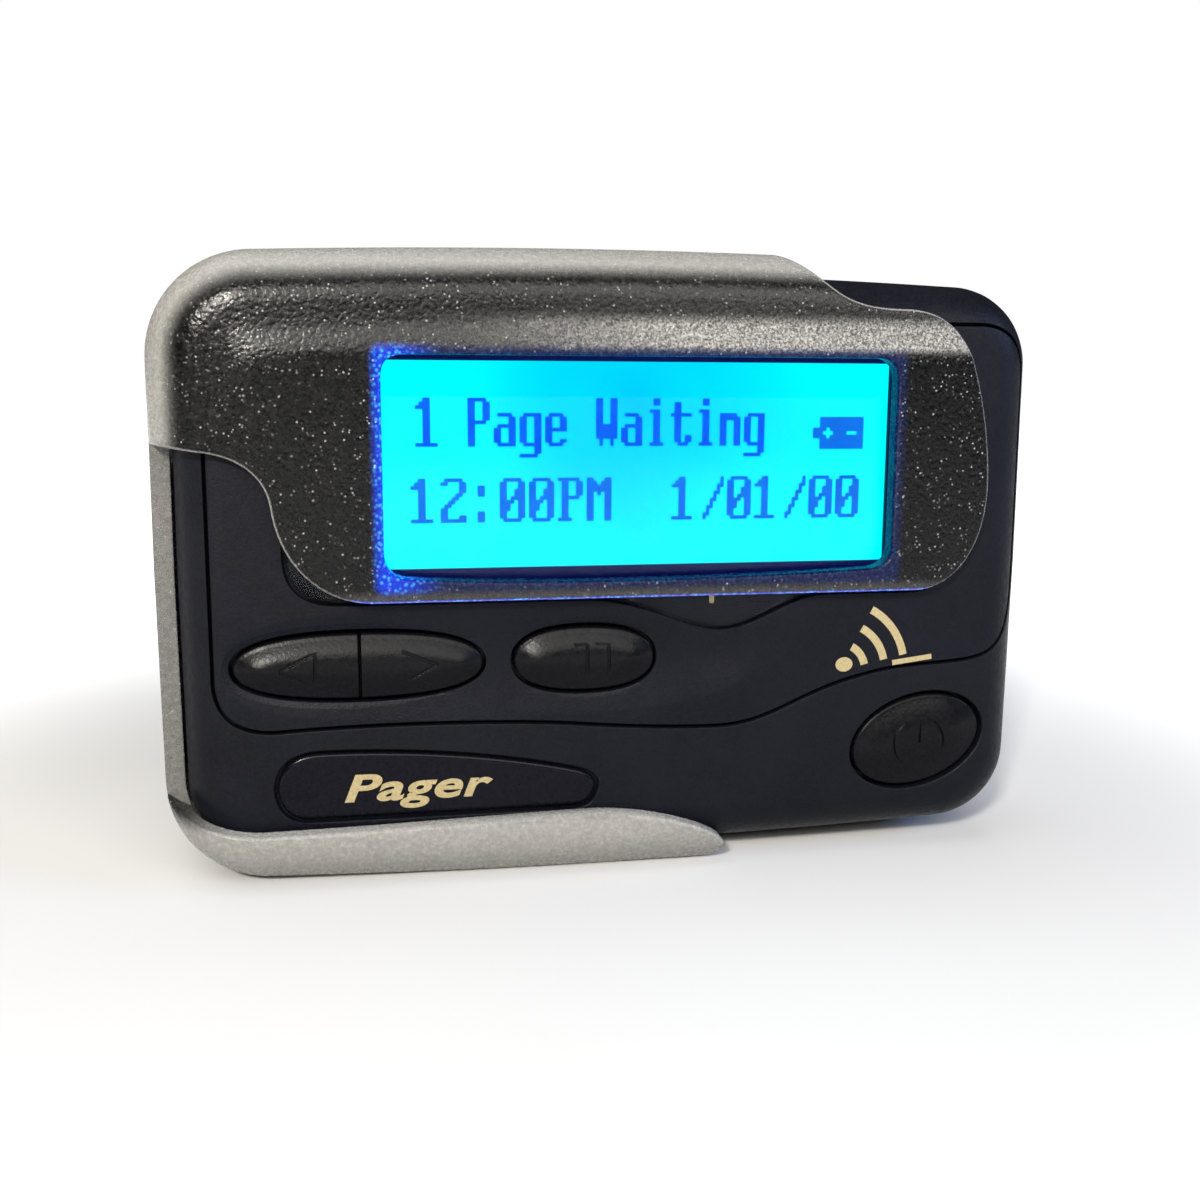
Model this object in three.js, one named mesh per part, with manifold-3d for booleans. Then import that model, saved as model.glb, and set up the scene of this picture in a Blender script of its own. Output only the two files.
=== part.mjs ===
// Alphanumeric belt pager in its slide-in holster, as an assembly of separate solids.
// Millimetres. Pager frame: X to the right, Y to the back, Z up; its origin is the middle of the
// pager's front face. The exported group moves that frame so that the whole object stands on z = 0
// with its box centred on the origin.
import * as THREE from "three";
import { mergeVertices } from "three/addons/utils/BufferGeometryUtils.js";
import Module from "manifold-3d";

const wasm = await Module();
wasm.setup();

// ---------------------------------------------------------------- driving dimensions, pager case
const PAGER_WIDTH = 80;
const PAGER_HEIGHT = 54;
const EDGE_CROWN = 1.1; // how far the top and bottom edges fall away towards the ends
const SIDE_CROWN = 0.3; // the same for the two ends
const CORNER_RADIUS = 7.5;
const FRONT_ROUND = 4.5;
const BACK_ROUND = 3;
const CASE_WALL = 2;
const CASE_SPLIT = 9; // from the front face to the seam between the two housings
const SEAM_GAP = 0.3; // visible gap between neighbouring outer pieces
const SEAT_GAP = 0.1; // between pieces that rest on each other
const FACEPLATE_THICKNESS = 0.9;

// ---------------------------------------------------------------- driving dimensions, display
const DISPLAY_LEFT_MARGIN = 17.65; // from the case's left end to the lit area
const DISPLAY_RIGHT_MARGIN = 15.15;
const DISPLAY_TOP_MARGIN = 8.45;
const DISPLAY_LOW_MARGIN = 27.95;
const GLASS_BORDER = 2.2;
const GLASS_LEDGE = 1.2; // contact ledge along the lower edge of the rear glass
const GLASS_THICKNESS = 1.8; // both plates together
const BACKLIGHT_THICKNESS = 0.9;
const HOLDER_WALL = 1;

// ---------------------------------------------------------------- driving dimensions, keys
const KEY_GAP = 0.35;
const KEY_PROUD = 0.6; // how far a cap stands out of the face
const KEY_TRAVEL = 0.7;
const KEY_FLANGE = 0.6; // rim behind the face that keeps a cap in
const FLANGE_THICKNESS = 0.6;
const KEY_ROW_RISE = 19; // from the case's lower edge to the row's middle
const ROCKER_LENGTH = 22.7;
const ROCKER_HEIGHT = 6.6;
const ROCKER_MARGIN = 4.4; // from the case's left end
const READ_KEY_LENGTH = 13.7;
const READ_KEY_SPACING = 2.2;
const POWER_KEY_LENGTH = 13.9;
const POWER_KEY_HEIGHT = 9.3;
const POWER_KEY_TILT = THREE.MathUtils.degToRad(15);
const POWER_KEY_SIDE = 8.9; // its middle, from the right end wall's inner face
const POWER_KEY_RISE = 7.8; // its middle, from the lower wall's inner face

// ---------------------------------------------------------------- driving dimensions, nameplate
const NAMEPLATE_LENGTH = 29.1;
const NAMEPLATE_HEIGHT = 6.35;
const NAMEPLATE_SIDE = 8.1;
const NAMEPLATE_RISE = 4.85;
const NAMEPLATE_THICKNESS = 0.6;

// ---------------------------------------------------------------- driving dimensions, insides
const BOARD_THICKNESS = 0.8;
const BOARD_GAP = 0.4; // round the board's edge
const CELL_DIAMETER = 10.5; // AAA cell
const CELL_LENGTH = 44.5;
const CELL_RISE = 3.45; // under the cell, from the case's lower edge
const SPRING_SPACE = 4.5;
const CONTACT_THICKNESS = 0.4;
const BAY_WALL = 1;
const DOOR_THICKNESS = 1.2;
const DOOR_LIP = 1.4; // how far the door reaches past the battery bay
const SCREW_SIDE = 6.4; // a screw's axis, from the case's end
const SCREW_INSET = 7; // a screw's axis, from the case's upper or lower edge
const SCREW_RADIUS = 1;
const SCREW_HEAD_RADIUS = 1.9;
const SCREW_HEAD_THICKNESS = 1.5;
const SCREW_CLEARANCE = 0.25;
const BOSS_WALL = 1;
const MOTOR_RADIUS = 3.1;
const MOTOR_LENGTH = 11;
const SHAFT_RADIUS = 0.6;
const WEIGHT_RADIUS = 3.6;
const WEIGHT_THICKNESS = 3.5;
const BUZZER_RADIUS = 6.5;
const BUZZER_THICKNESS = 4.8;

// ---------------------------------------------------------------- driving dimensions, holster
const HOLSTER_CLEARANCE = 0.3;
const HOLSTER_WALL = 1.7;
const HOLSTER_BASE_WALL = 1.1; // lower wall, flat underneath, where the object stands
const WINDOW_TOP_MARGIN = 0.85; // the hood's window past the lit area
const WINDOW_BOTTOM_MARGIN = 1.45;
const WINDOW_RADIUS = 2;
const HOOD_EDGE_DROP = 3.05; // the hood's lower edge, below the lit area
const HOOD_RIGHT_MARGIN = 9.5; // the hood's right edge, past the lit area
const SIDE_CUTBACK = 4.2; // front edge of the holster's end wall, behind the pager's face
const LIP_HEIGHT = 5.8; // lower lip's upper edge, above the flat base
const LIP_END = 9.7; // right end of the lower lip
const RAIL_END = 13.6; // right end of the upper rail
const BACK_PLATE_RIGHT = 33;
const BACK_PLATE_RADIUS = 9;

// ---------------------------------------------------------------- driving dimensions, belt clip
const BELT_GAP = 4.7; // between the back plate and the clip's arm
const CLIP_WIDTH = 20;
const CLIP_THICKNESS = 1.8;
const CLIP_PIN_Z = 13;
const CLIP_TAB_TOP = 21.5;
const CLIP_FOOT_Z = -19;
const PIN_RADIUS = 1;
const PIN_CLEARANCE = 0.3;
const BARREL_WALL = 1.3;
const EAR_THICKNESS = 2;
const TORSION_LENGTH = 4;
const TORSION_WIRE = 0.6;

// ---------------------------------------------------------------- values worked out from those
const LEFT = -PAGER_WIDTH / 2;
const RIGHT = PAGER_WIDTH / 2;
const TOP = PAGER_HEIGHT / 2;
const BOTTOM = -PAGER_HEIGHT / 2;
const FAR = 2 * (PAGER_WIDTH + PAGER_HEIGHT); // reaches past everything in a cut

const DISPLAY_LEFT = LEFT + DISPLAY_LEFT_MARGIN; // the lit area
const DISPLAY_RIGHT = RIGHT - DISPLAY_RIGHT_MARGIN;
const DISPLAY_TOP = TOP - DISPLAY_TOP_MARGIN;
const DISPLAY_BOTTOM = BOTTOM + DISPLAY_LOW_MARGIN;
const DISPLAY_MIDDLE = (DISPLAY_LEFT + DISPLAY_RIGHT) / 2;

const GLASS_FRONT = CASE_WALL + SEAM_GAP;
const GLASS_BACK = GLASS_FRONT + GLASS_THICKNESS;
const BACKLIGHT_FRONT = GLASS_BACK + SEAT_GAP;
const BACKLIGHT_BACK = BACKLIGHT_FRONT + BACKLIGHT_THICKNESS;
const BOARD_FRONT = BACKLIGHT_BACK + SEAM_GAP;
const BOARD_BACK = BOARD_FRONT + BOARD_THICKNESS;

const KEY_ROW_Z = BOTTOM + KEY_ROW_RISE;
const ROCKER_LEFT = LEFT + ROCKER_MARGIN;
const ROCKER_RIGHT = ROCKER_LEFT + ROCKER_LENGTH;
const ROCKER_SPLIT = (ROCKER_LEFT + ROCKER_RIGHT) / 2;
const READ_KEY_LEFT = ROCKER_RIGHT + READ_KEY_SPACING;
const READ_KEY_RIGHT = READ_KEY_LEFT + READ_KEY_LENGTH;
const POWER_KEY_X = RIGHT - CASE_WALL - POWER_KEY_SIDE;
const POWER_KEY_Z = BOTTOM + CASE_WALL + POWER_KEY_RISE;
const FLANGE_FRONT = CASE_WALL + SEAM_GAP;
const FLANGE_BACK = FLANGE_FRONT + FLANGE_THICKNESS;
const PAD_FRONT = FLANGE_BACK + KEY_TRAVEL + SEAM_GAP;
const SWITCH_THICKNESS = 0.5;
const PAD_BACK = BOARD_FRONT - SWITCH_THICKNESS - SEAT_GAP * 2;

const CELL_RADIUS = CELL_DIAMETER / 2;
const CELL_RIGHT = RIGHT - CASE_WALL - SPRING_SPACE;
const CELL_LEFT = CELL_RIGHT - CELL_LENGTH;
const CELL_Y = BOARD_BACK + SEAM_GAP + CELL_RADIUS;
const CELL_Z = BOTTOM + CELL_RISE + CELL_RADIUS;
const PAGER_DEPTH = CELL_Y + CELL_RADIUS + SEAM_GAP + DOOR_THICKNESS;
const BAY_LEFT = CELL_LEFT - SEAM_GAP - CONTACT_THICKNESS - SEAM_GAP;
const BAY_TOP = CELL_Z + CELL_RADIUS + SEAM_GAP;
const BAY_BOTTOM = CELL_Z - CELL_RADIUS - SEAM_GAP;

const SHELL_GROWTH = HOLSTER_CLEARANCE + HOLSTER_WALL;
const HOLSTER_FRONT = -SHELL_GROWTH;
const HOLSTER_BACK = PAGER_DEPTH + SHELL_GROWTH;
const BASE_Z = BOTTOM - HOLSTER_CLEARANCE - HOLSTER_BASE_WALL;
const HOOD_LOW = DISPLAY_BOTTOM - HOOD_EDGE_DROP;
const HOOD_RIGHT = DISPLAY_RIGHT + HOOD_RIGHT_MARGIN;
const LIP_TOP = BASE_Z + LIP_HEIGHT;

const BARREL_RADIUS = PIN_RADIUS + PIN_CLEARANCE + BARREL_WALL;
const CLIP_INNER = HOLSTER_BACK + BELT_GAP;
const CLIP_OUTER = CLIP_INNER + CLIP_THICKNESS;
const PIN_Y = HOLSTER_BACK + BARREL_RADIUS + SEAM_GAP * 2;

// ---------------------------------------------------------------- materials
function plastic(color, roughness) {
  return new THREE.MeshStandardMaterial({ color, roughness, metalness: 0 });
}

function metal(color, roughness) {
  return new THREE.MeshStandardMaterial({ color, roughness, metalness: 1 });
}

const casePlastic = plastic(0x17181b, 0.55);
const keyPlastic = plastic(0x101114, 0.4);
const smokePlastic = plastic(0x4a4a48, 0.45);
const lensPlastic = plastic(0x05060c, 0.08);
const clipPlastic = plastic(0x1b1b1d, 0.5);
const rubber = plastic(0x2c2c30, 0.85);
const litGlass = plastic(0x00c8ff, 0.2);
const diffuser = plastic(0xe9f4f6, 0.6);
const boardGreen = plastic(0x14532d, 0.5);
const chipBlack = plastic(0x0b0b0c, 0.5);
const labelBlack = plastic(0x0c0c10, 0.3);
const cellJacket = plastic(0x2e5f8a, 0.35);
const steel = metal(0xb9bcc0, 0.3);
const brass = metal(0xc9a14a, 0.3);

// ---------------------------------------------------------------- solids from three.js geometry
function solid(geometry) {
  const plain = geometry.clone();
  plain.deleteAttribute("normal");
  plain.deleteAttribute("uv");
  const merged = mergeVertices(plain, 1e-4);
  const mesh = new wasm.Mesh({
    numProp: 3,
    vertProperties: new Float32Array(merged.attributes.position.array),
    triVerts: new Uint32Array(merged.index.array),
  });
  return new wasm.Manifold(mesh);
}

function named(name, shape, material) {
  const data = shape.getMesh();
  const geometry = new THREE.BufferGeometry();
  geometry.setAttribute("position", new THREE.BufferAttribute(data.vertProperties, 3));
  geometry.setIndex(new THREE.BufferAttribute(data.triVerts, 1));
  geometry.computeVertexNormals();
  const mesh = new THREE.Mesh(geometry, material);
  mesh.name = name;
  return mesh;
}

function union(first, ...others) {
  return others.reduce((whole, piece) => whole.add(piece), first);
}

function block(x0, x1, y0, y1, z0, z1) {
  const geometry = new THREE.BoxGeometry(x1 - x0, y1 - y0, z1 - z0);
  geometry.translate((x0 + x1) / 2, (y0 + y1) / 2, (z0 + z1) / 2);
  return solid(geometry);
}

// A round bar along Y from y0 to y1.
function barY(x, z, radius, y0, y1, sides = 20) {
  const geometry = new THREE.CylinderGeometry(radius, radius, y1 - y0, sides);
  geometry.translate(x, (y0 + y1) / 2, z);
  return solid(geometry);
}

// A round bar along X from x0 to x1.
function barX(y, z, radius, x0, x1, sides = 20) {
  const geometry = new THREE.CylinderGeometry(radius, radius, x1 - x0, sides);
  geometry.rotateZ(Math.PI / 2);
  geometry.translate((x0 + x1) / 2, y, z);
  return solid(geometry);
}

// An outline in the X-Z plane pushed along Y from y0 to y1.
function prism(points, y0, y1) {
  const shape = new THREE.Shape(points);
  const geometry = new THREE.ExtrudeGeometry(shape, { depth: y1 - y0, bevelEnabled: false });
  geometry.rotateX(Math.PI / 2);
  geometry.translate(0, y1, 0);
  return solid(geometry);
}

// An outline in the Y-Z plane pushed along X from x0 to x1.
function prismX(points, x0, x1) {
  const shape = new THREE.Shape(points);
  const geometry = new THREE.ExtrudeGeometry(shape, { depth: x1 - x0, bevelEnabled: false });
  geometry.rotateX(Math.PI / 2);
  geometry.rotateZ(Math.PI / 2);
  geometry.translate(x0, 0, 0);
  return solid(geometry);
}

// The outline moved inwards by a distance (outwards when it is negative).
function insetOutline(points, distance) {
  const count = points.length;
  return points.map((point, i) => {
    const before = points[(i + count - 1) % count];
    const after = points[(i + 1) % count];
    const incoming = point.clone().sub(before).normalize();
    const outgoing = after.clone().sub(point).normalize();
    const along = incoming.clone().add(outgoing).normalize();
    const stretch = 1 / Math.max(0.5, along.dot(outgoing));
    return new THREE.Vector2(-along.y, along.x).multiplyScalar(distance * stretch).add(point);
  });
}

function counterClockwise(points) {
  return THREE.ShapeUtils.isClockWise(points) ? points.slice().reverse() : points;
}

// Points of a closed shape without the repeated last one, counter-clockwise.
function outlinePoints(shape, divisions) {
  const points = shape.getPoints(divisions);
  const kept = points.filter((p, i) => p.distanceTo(points[(i + 1) % points.length]) > 1e-3);
  return counterClockwise(kept);
}

// A solid through rings of equal point count, each { y, points }, front to back.
function loft(rings) {
  const count = rings[0].points.length;
  const positions = rings.flatMap((ring) => ring.points.flatMap((p) => [p.x, ring.y, p.y]));
  const index = [];
  const front = THREE.ShapeUtils.triangulateShape(rings[0].points, []);
  const back = THREE.ShapeUtils.triangulateShape(rings.at(-1).points, []);
  const lastStart = (rings.length - 1) * count;
  front.forEach(([a, b, c]) => index.push(a, b, c));
  back.forEach(([a, b, c]) => index.push(lastStart + a, lastStart + c, lastStart + b));
  for (let ring = 0; ring < rings.length - 1; ring += 1) {
    for (let i = 0; i < count; i += 1) {
      const a = ring * count + i;
      const b = ring * count + ((i + 1) % count);
      index.push(a, a + count, b + count, a, b + count, b);
    }
  }
  const geometry = new THREE.BufferGeometry();
  geometry.setAttribute("position", new THREE.Float32BufferAttribute(positions, 3));
  geometry.setIndex(index);
  return solid(geometry);
}

// Depths and insets of a rounded edge: a quarter round at the front and one at the back.
function roundedRings(outlineAt, y0, y1, frontRound, backRound, segments) {
  const rings = [];
  for (let i = 0; i <= segments; i += 1) {
    const angle = (i / segments) * (Math.PI / 2);
    const inset = frontRound * (1 - Math.sin(angle));
    rings.push({ y: y0 + frontRound * (1 - Math.cos(angle)), points: outlineAt(inset) });
  }
  for (let i = segments; i >= 0; i -= 1) {
    const angle = (i / segments) * (Math.PI / 2);
    const inset = backRound * (1 - Math.sin(angle));
    rings.push({ y: y1 - backRound * (1 - Math.cos(angle)), points: outlineAt(inset) });
  }
  return rings;
}

function roundedPlate(points, y0, y1, frontRound) {
  const rings = [];
  const segments = 3;
  for (let i = 0; i <= segments; i += 1) {
    const angle = (i / segments) * (Math.PI / 2);
    const inset = frontRound * (1 - Math.sin(angle));
    rings.push({ y: y0 + frontRound * (1 - Math.cos(angle)), points: insetOutline(points, inset) });
  }
  rings.push({ y: y1, points });
  return loft(rings);
}

// ---------------------------------------------------------------- outlines
// The case's outline, moved inwards by an inset: crowned edges and round corners.
function caseOutline(inset) {
  const halfWidth = PAGER_WIDTH / 2 - inset;
  const halfHeight = PAGER_HEIGHT / 2 - inset;
  const radius = CORNER_RADIUS - inset;
  let centreX = halfWidth - radius;
  let centreZ = halfHeight - radius;
  for (let i = 0; i < 4; i += 1) {
    centreX = halfWidth - radius - SIDE_CROWN * (centreZ / halfHeight) ** 2;
    centreZ = halfHeight - radius - EDGE_CROWN * (centreX / halfWidth) ** 2;
  }
  const sideTilt = Math.atan((2 * SIDE_CROWN * centreZ) / halfHeight ** 2);
  const edgeTilt = Math.atan((2 * EDGE_CROWN * centreX) / halfWidth ** 2);
  const quarter = [];
  const cornerSteps = 6;
  for (let i = 0; i <= cornerSteps; i += 1) {
    const angle = sideTilt + (i / cornerSteps) * (Math.PI / 2 - sideTilt - edgeTilt);
    quarter.push([centreX + radius * Math.cos(angle), centreZ + radius * Math.sin(angle)]);
  }
  const edgeSteps = 4;
  const reach = quarter.at(-1)[0];
  for (let i = edgeSteps - 1; i >= 1; i -= 1) {
    const x = (reach * i) / edgeSteps;
    quarter.push([x, halfHeight - EDGE_CROWN * (x / halfWidth) ** 2]);
  }
  const points = [new THREE.Vector2(halfWidth, 0)];
  quarter.forEach(([x, z]) => points.push(new THREE.Vector2(x, z)));
  points.push(new THREE.Vector2(0, halfHeight));
  quarter.toReversed().forEach(([x, z]) => points.push(new THREE.Vector2(-x, z)));
  points.push(new THREE.Vector2(-halfWidth, 0));
  quarter.forEach(([x, z]) => points.push(new THREE.Vector2(-x, -z)));
  points.push(new THREE.Vector2(0, -halfHeight));
  quarter.toReversed().forEach(([x, z]) => points.push(new THREE.Vector2(x, -z)));
  return points;
}

// The case's outer form moved inwards by an inset.
function caseForm(inset) {
  const outlineAt = (extra) => caseOutline(inset + extra);
  const front = Math.max(FRONT_ROUND - inset, 0.2);
  const back = Math.max(BACK_ROUND - inset, 0.2);
  return loft(roundedRings(outlineAt, inset, PAGER_DEPTH - inset, front, back, 5));
}

// A lens-like outline of four quarter curves, whose fullness is 0.55 for an ellipse.
function lozenge(left, right, bottom, top, fullness, inset = 0) {
  const x0 = left + inset;
  const x1 = right - inset;
  const z0 = bottom + inset;
  const z1 = top - inset;
  const midX = (x0 + x1) / 2;
  const midZ = (z0 + z1) / 2;
  const reachX = (x1 - midX) * fullness;
  const reachZ = (z1 - midZ) * 0.7;
  const shape = new THREE.Shape();
  shape.moveTo(x1, midZ);
  shape.bezierCurveTo(x1, midZ + reachZ, midX + reachX, z1, midX, z1);
  shape.bezierCurveTo(midX - reachX, z1, x0, midZ + reachZ, x0, midZ);
  shape.bezierCurveTo(x0, midZ - reachZ, midX - reachX, z0, midX, z0);
  shape.bezierCurveTo(midX + reachX, z0, x1, midZ - reachZ, x1, midZ);
  return outlinePoints(shape, 8);
}

function rockerOutline(inset) {
  const half = ROCKER_HEIGHT / 2;
  return lozenge(ROCKER_LEFT, ROCKER_RIGHT, KEY_ROW_Z - half, KEY_ROW_Z + half, 0.62, inset);
}

function readKeyOutline(inset) {
  const half = ROCKER_HEIGHT / 2;
  return lozenge(READ_KEY_LEFT, READ_KEY_RIGHT, KEY_ROW_Z - half, KEY_ROW_Z + half, 0.6, inset);
}

function powerKeyOutline(inset) {
  const shape = new THREE.Shape();
  const halfLength = POWER_KEY_LENGTH / 2 - inset;
  const halfHeight = POWER_KEY_HEIGHT / 2 - inset;
  const turn = 2 * Math.PI;
  shape.absellipse(POWER_KEY_X, POWER_KEY_Z, halfLength, halfHeight, 0, turn, false, POWER_KEY_TILT);
  return outlinePoints(shape, 18);
}

// The faceplate's edge: straight at the top and left, a wave under the keys.
function faceplateOutline() {
  const left = LEFT + 3;
  const right = RIGHT - 1.2;
  const top = TOP - 4.4;
  const low = KEY_ROW_Z - 5.8;
  const rightLow = KEY_ROW_Z - 1.6;
  const dipX = READ_KEY_RIGHT + 5.8;
  const shape = new THREE.Shape();
  shape.moveTo(left, top - 4.1);
  shape.lineTo(left, low + 5.2);
  shape.bezierCurveTo(left - 0.2, low + 1.8, left + 1.8, low - 0.1, left + 5.4, low);
  shape.bezierCurveTo(left + 14, low + 0.5, READ_KEY_LEFT, low + 0.3, READ_KEY_LEFT + 6, low - 0.3);
  shape.bezierCurveTo(READ_KEY_RIGHT - 2, low - 0.9, dipX - 3, low - 1.1, dipX, low - 1.1);
  shape.bezierCurveTo(dipX + 6.4, low - 1, dipX + 8, rightLow - 1.6, dipX + 18, rightLow - 0.2);
  shape.bezierCurveTo(right - 7, rightLow + 0.2, right - 4, rightLow, right - 2.4, rightLow + 1.2);
  shape.bezierCurveTo(right - 0.6, rightLow + 2.4, right, rightLow + 4.6, right, rightLow + 8);
  shape.lineTo(right, top - 5.6);
  shape.bezierCurveTo(right, top - 2, right - 1.4, top - 0.3, right - 4.6, top);
  shape.lineTo(left + 4, top);
  shape.bezierCurveTo(left + 1.4, top, left, top - 1.4, left, top - 4.1);
  return outlinePoints(shape, 6);
}

// The display lens's edge: round corners and a shallow bulge below the hood.
function lensOutline() {
  const left = DISPLAY_LEFT - 8.2;
  const right = DISPLAY_RIGHT + 6;
  const top = DISPLAY_TOP + 2.8;
  const low = DISPLAY_BOTTOM - 3.3;
  const bulgeX = READ_KEY_RIGHT + 6;
  const shape = new THREE.Shape();
  shape.moveTo(left, top - 3);
  shape.lineTo(left, low + 4.2);
  shape.bezierCurveTo(left, low + 1.4, left + 1.6, low, left + 4.6, low);
  shape.lineTo(bulgeX - 12, low);
  shape.bezierCurveTo(bulgeX - 6.5, low - 0.6, bulgeX - 3.4, low - 3.1, bulgeX, low - 3.2);
  shape.bezierCurveTo(bulgeX + 3.4, low - 3.1, bulgeX + 6.5, low - 0.3, bulgeX + 10, low);
  shape.lineTo(right - 3, low);
  shape.bezierCurveTo(right - 1, low, right, low + 1, right, low + 3);
  shape.lineTo(right, top - 3);
  shape.bezierCurveTo(right, top - 1, right - 1, top, right - 3, top);
  shape.lineTo(left + 3, top);
  shape.bezierCurveTo(left + 1, top, left, top - 1, left, top - 3);
  return outlinePoints(shape, 5);
}

function nameplateOutline() {
  const left = LEFT + NAMEPLATE_SIDE;
  const right = left + NAMEPLATE_LENGTH;
  const low = BOTTOM + NAMEPLATE_RISE;
  const top = low + NAMEPLATE_HEIGHT;
  const shape = new THREE.Shape();
  shape.moveTo(left, low + 3.2);
  shape.bezierCurveTo(left + 0.3, top - 1.2, left + 1.3, top - 0.1, left + 3.9, top);
  shape.bezierCurveTo(left + 12, top + 0.1, right - 8.2, top - 1, right - 1.8, top - 2.6);
  shape.bezierCurveTo(right + 0.1, top - 3.1, right + 0.4, low + 2.3, right - 0.1, low + 1.3);
  shape.bezierCurveTo(right - 0.4, low + 0.3, right - 1.2, low, right - 2.7, low);
  shape.lineTo(left + 3.1, low);
  shape.bezierCurveTo(left + 1.1, low, left + 0.1, low + 1.1, left, low + 3.2);
  return outlinePoints(shape, 5);
}

// The holster's hood as seen from the front, run out past the shell at the left and the top.
function hoodRegion() {
  const stepX = LEFT + 8.5;
  const stepZ = HOOD_LOW + 13.2;
  const low = HOOD_LOW;
  const right = HOOD_RIGHT;
  const high = TOP - 3.15;
  const shape = new THREE.Shape();
  shape.moveTo(-FAR, stepZ + 0.6);
  shape.lineTo(stepX - 10.5, stepZ + 0.6);
  shape.lineTo(stepX - 6, stepZ);
  shape.bezierCurveTo(stepX - 2.5, stepZ - 0.3, stepX - 0.4, stepZ - 2, stepX, low + 8.7);
  shape.bezierCurveTo(stepX + 0.5, low + 3.7, stepX + 3.9, low, stepX + 8.7, low);
  shape.lineTo(right - 7, low);
  shape.bezierCurveTo(right - 3, low, right - 0.1, low + 3.9, right, low + 9.7);
  shape.bezierCurveTo(right, high - 12, right - 0.8, high - 8.8, right - 2, high - 5);
  shape.bezierCurveTo(right - 3, high - 1.8, right - 5, high, right - 8.8, high);
  shape.bezierCurveTo(RAIL_END + 6.9, high, RAIL_END + 5.6, TOP - 1.8, RAIL_END + 4, TOP - 0.4);
  shape.bezierCurveTo(RAIL_END + 2.8, TOP + 0.7, RAIL_END + 1.7, TOP + 1.6, RAIL_END, TOP + 2.4);
  shape.lineTo(RAIL_END, FAR);
  shape.lineTo(-FAR, FAR);
  return outlinePoints(shape, 7);
}

// The lower lip as seen from the front, run out past the shell at the left and below.
function lipRegion() {
  const shape = new THREE.Shape();
  shape.moveTo(-FAR, LIP_TOP + 4.6);
  shape.lineTo(LEFT - 4, LIP_TOP + 4.6);
  shape.bezierCurveTo(LEFT - 1, LIP_TOP + 1.4, LEFT + 2, LIP_TOP - 0.1, LEFT + 6.5, LIP_TOP - 0.3);
  shape.bezierCurveTo(LEFT + 18, LIP_TOP - 0.2, LIP_END - 22, LIP_TOP + 0.3, LIP_END - 12.7, LIP_TOP + 0.4);
  shape.bezierCurveTo(LIP_END - 6.7, LIP_TOP + 0.3, LIP_END + 0.2, LIP_TOP - 2.2, LIP_END, LIP_TOP - 4);
  shape.bezierCurveTo(LIP_END - 0.1, LIP_TOP - 5, LIP_END - 1, BASE_Z, LIP_END - 2, BASE_Z - 1);
  shape.lineTo(LIP_END - 2, -FAR);
  shape.lineTo(-FAR, -FAR);
  return outlinePoints(shape, 7);
}

// The hood's window: round corners and a lower edge that bows down a little.
function windowOutline() {
  const left = DISPLAY_LEFT + 0.4;
  const right = DISPLAY_RIGHT;
  const top = DISPLAY_TOP + WINDOW_TOP_MARGIN;
  const low = DISPLAY_BOTTOM - WINDOW_BOTTOM_MARGIN;
  const r = WINDOW_RADIUS;
  const bow = 0.8;
  const shape = new THREE.Shape();
  shape.moveTo(left, top - r);
  shape.lineTo(left, low + bow + r);
  shape.quadraticCurveTo(left, low + bow, left + r, low + bow * 0.7);
  shape.bezierCurveTo(left + 12, low - 0.1, right - 18, low - 0.1, right - r, low + bow * 0.8);
  shape.quadraticCurveTo(right, low + bow, right, low + bow + r);
  shape.lineTo(right, top - r);
  shape.quadraticCurveTo(right, top, right - r, top);
  shape.lineTo(left + r, top);
  shape.quadraticCurveTo(left, top, left, top - r);
  return outlinePoints(shape, 6);
}

function roundedRectangle(x0, x1, z0, z1, radius) {
  const shape = new THREE.Shape();
  shape.moveTo(x0 + radius, z0);
  shape.lineTo(x1 - radius, z0);
  shape.absarc(x1 - radius, z0 + radius, radius, -Math.PI / 2, 0);
  shape.lineTo(x1, z1 - radius);
  shape.absarc(x1 - radius, z1 - radius, radius, 0, Math.PI / 2);
  shape.lineTo(x0 + radius, z1);
  shape.absarc(x0 + radius, z1 - radius, radius, Math.PI / 2, Math.PI);
  shape.lineTo(x0, z0 + radius);
  shape.absarc(x0 + radius, z0 + radius, radius, Math.PI, 1.5 * Math.PI);
  return outlinePoints(shape, 5);
}

// ---------------------------------------------------------------- shared solids
const caseOuter = caseForm(0);
const caseInner = caseForm(CASE_WALL);
const screwPlaces = [
  [LEFT + SCREW_SIDE, TOP - SCREW_INSET],
  [RIGHT - SCREW_SIDE, TOP - SCREW_INSET],
  [LEFT + SCREW_SIDE, BOTTOM + SCREW_INSET],
];
const keyHoles = [rockerOutline(0), readKeyOutline(0), powerKeyOutline(0)];
const SCREW_HEAD_FRONT = CASE_SPLIT + 2;

function cutAll(body, tools) {
  return tools.reduce((rest, tool) => rest.subtract(tool), body);
}

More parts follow.
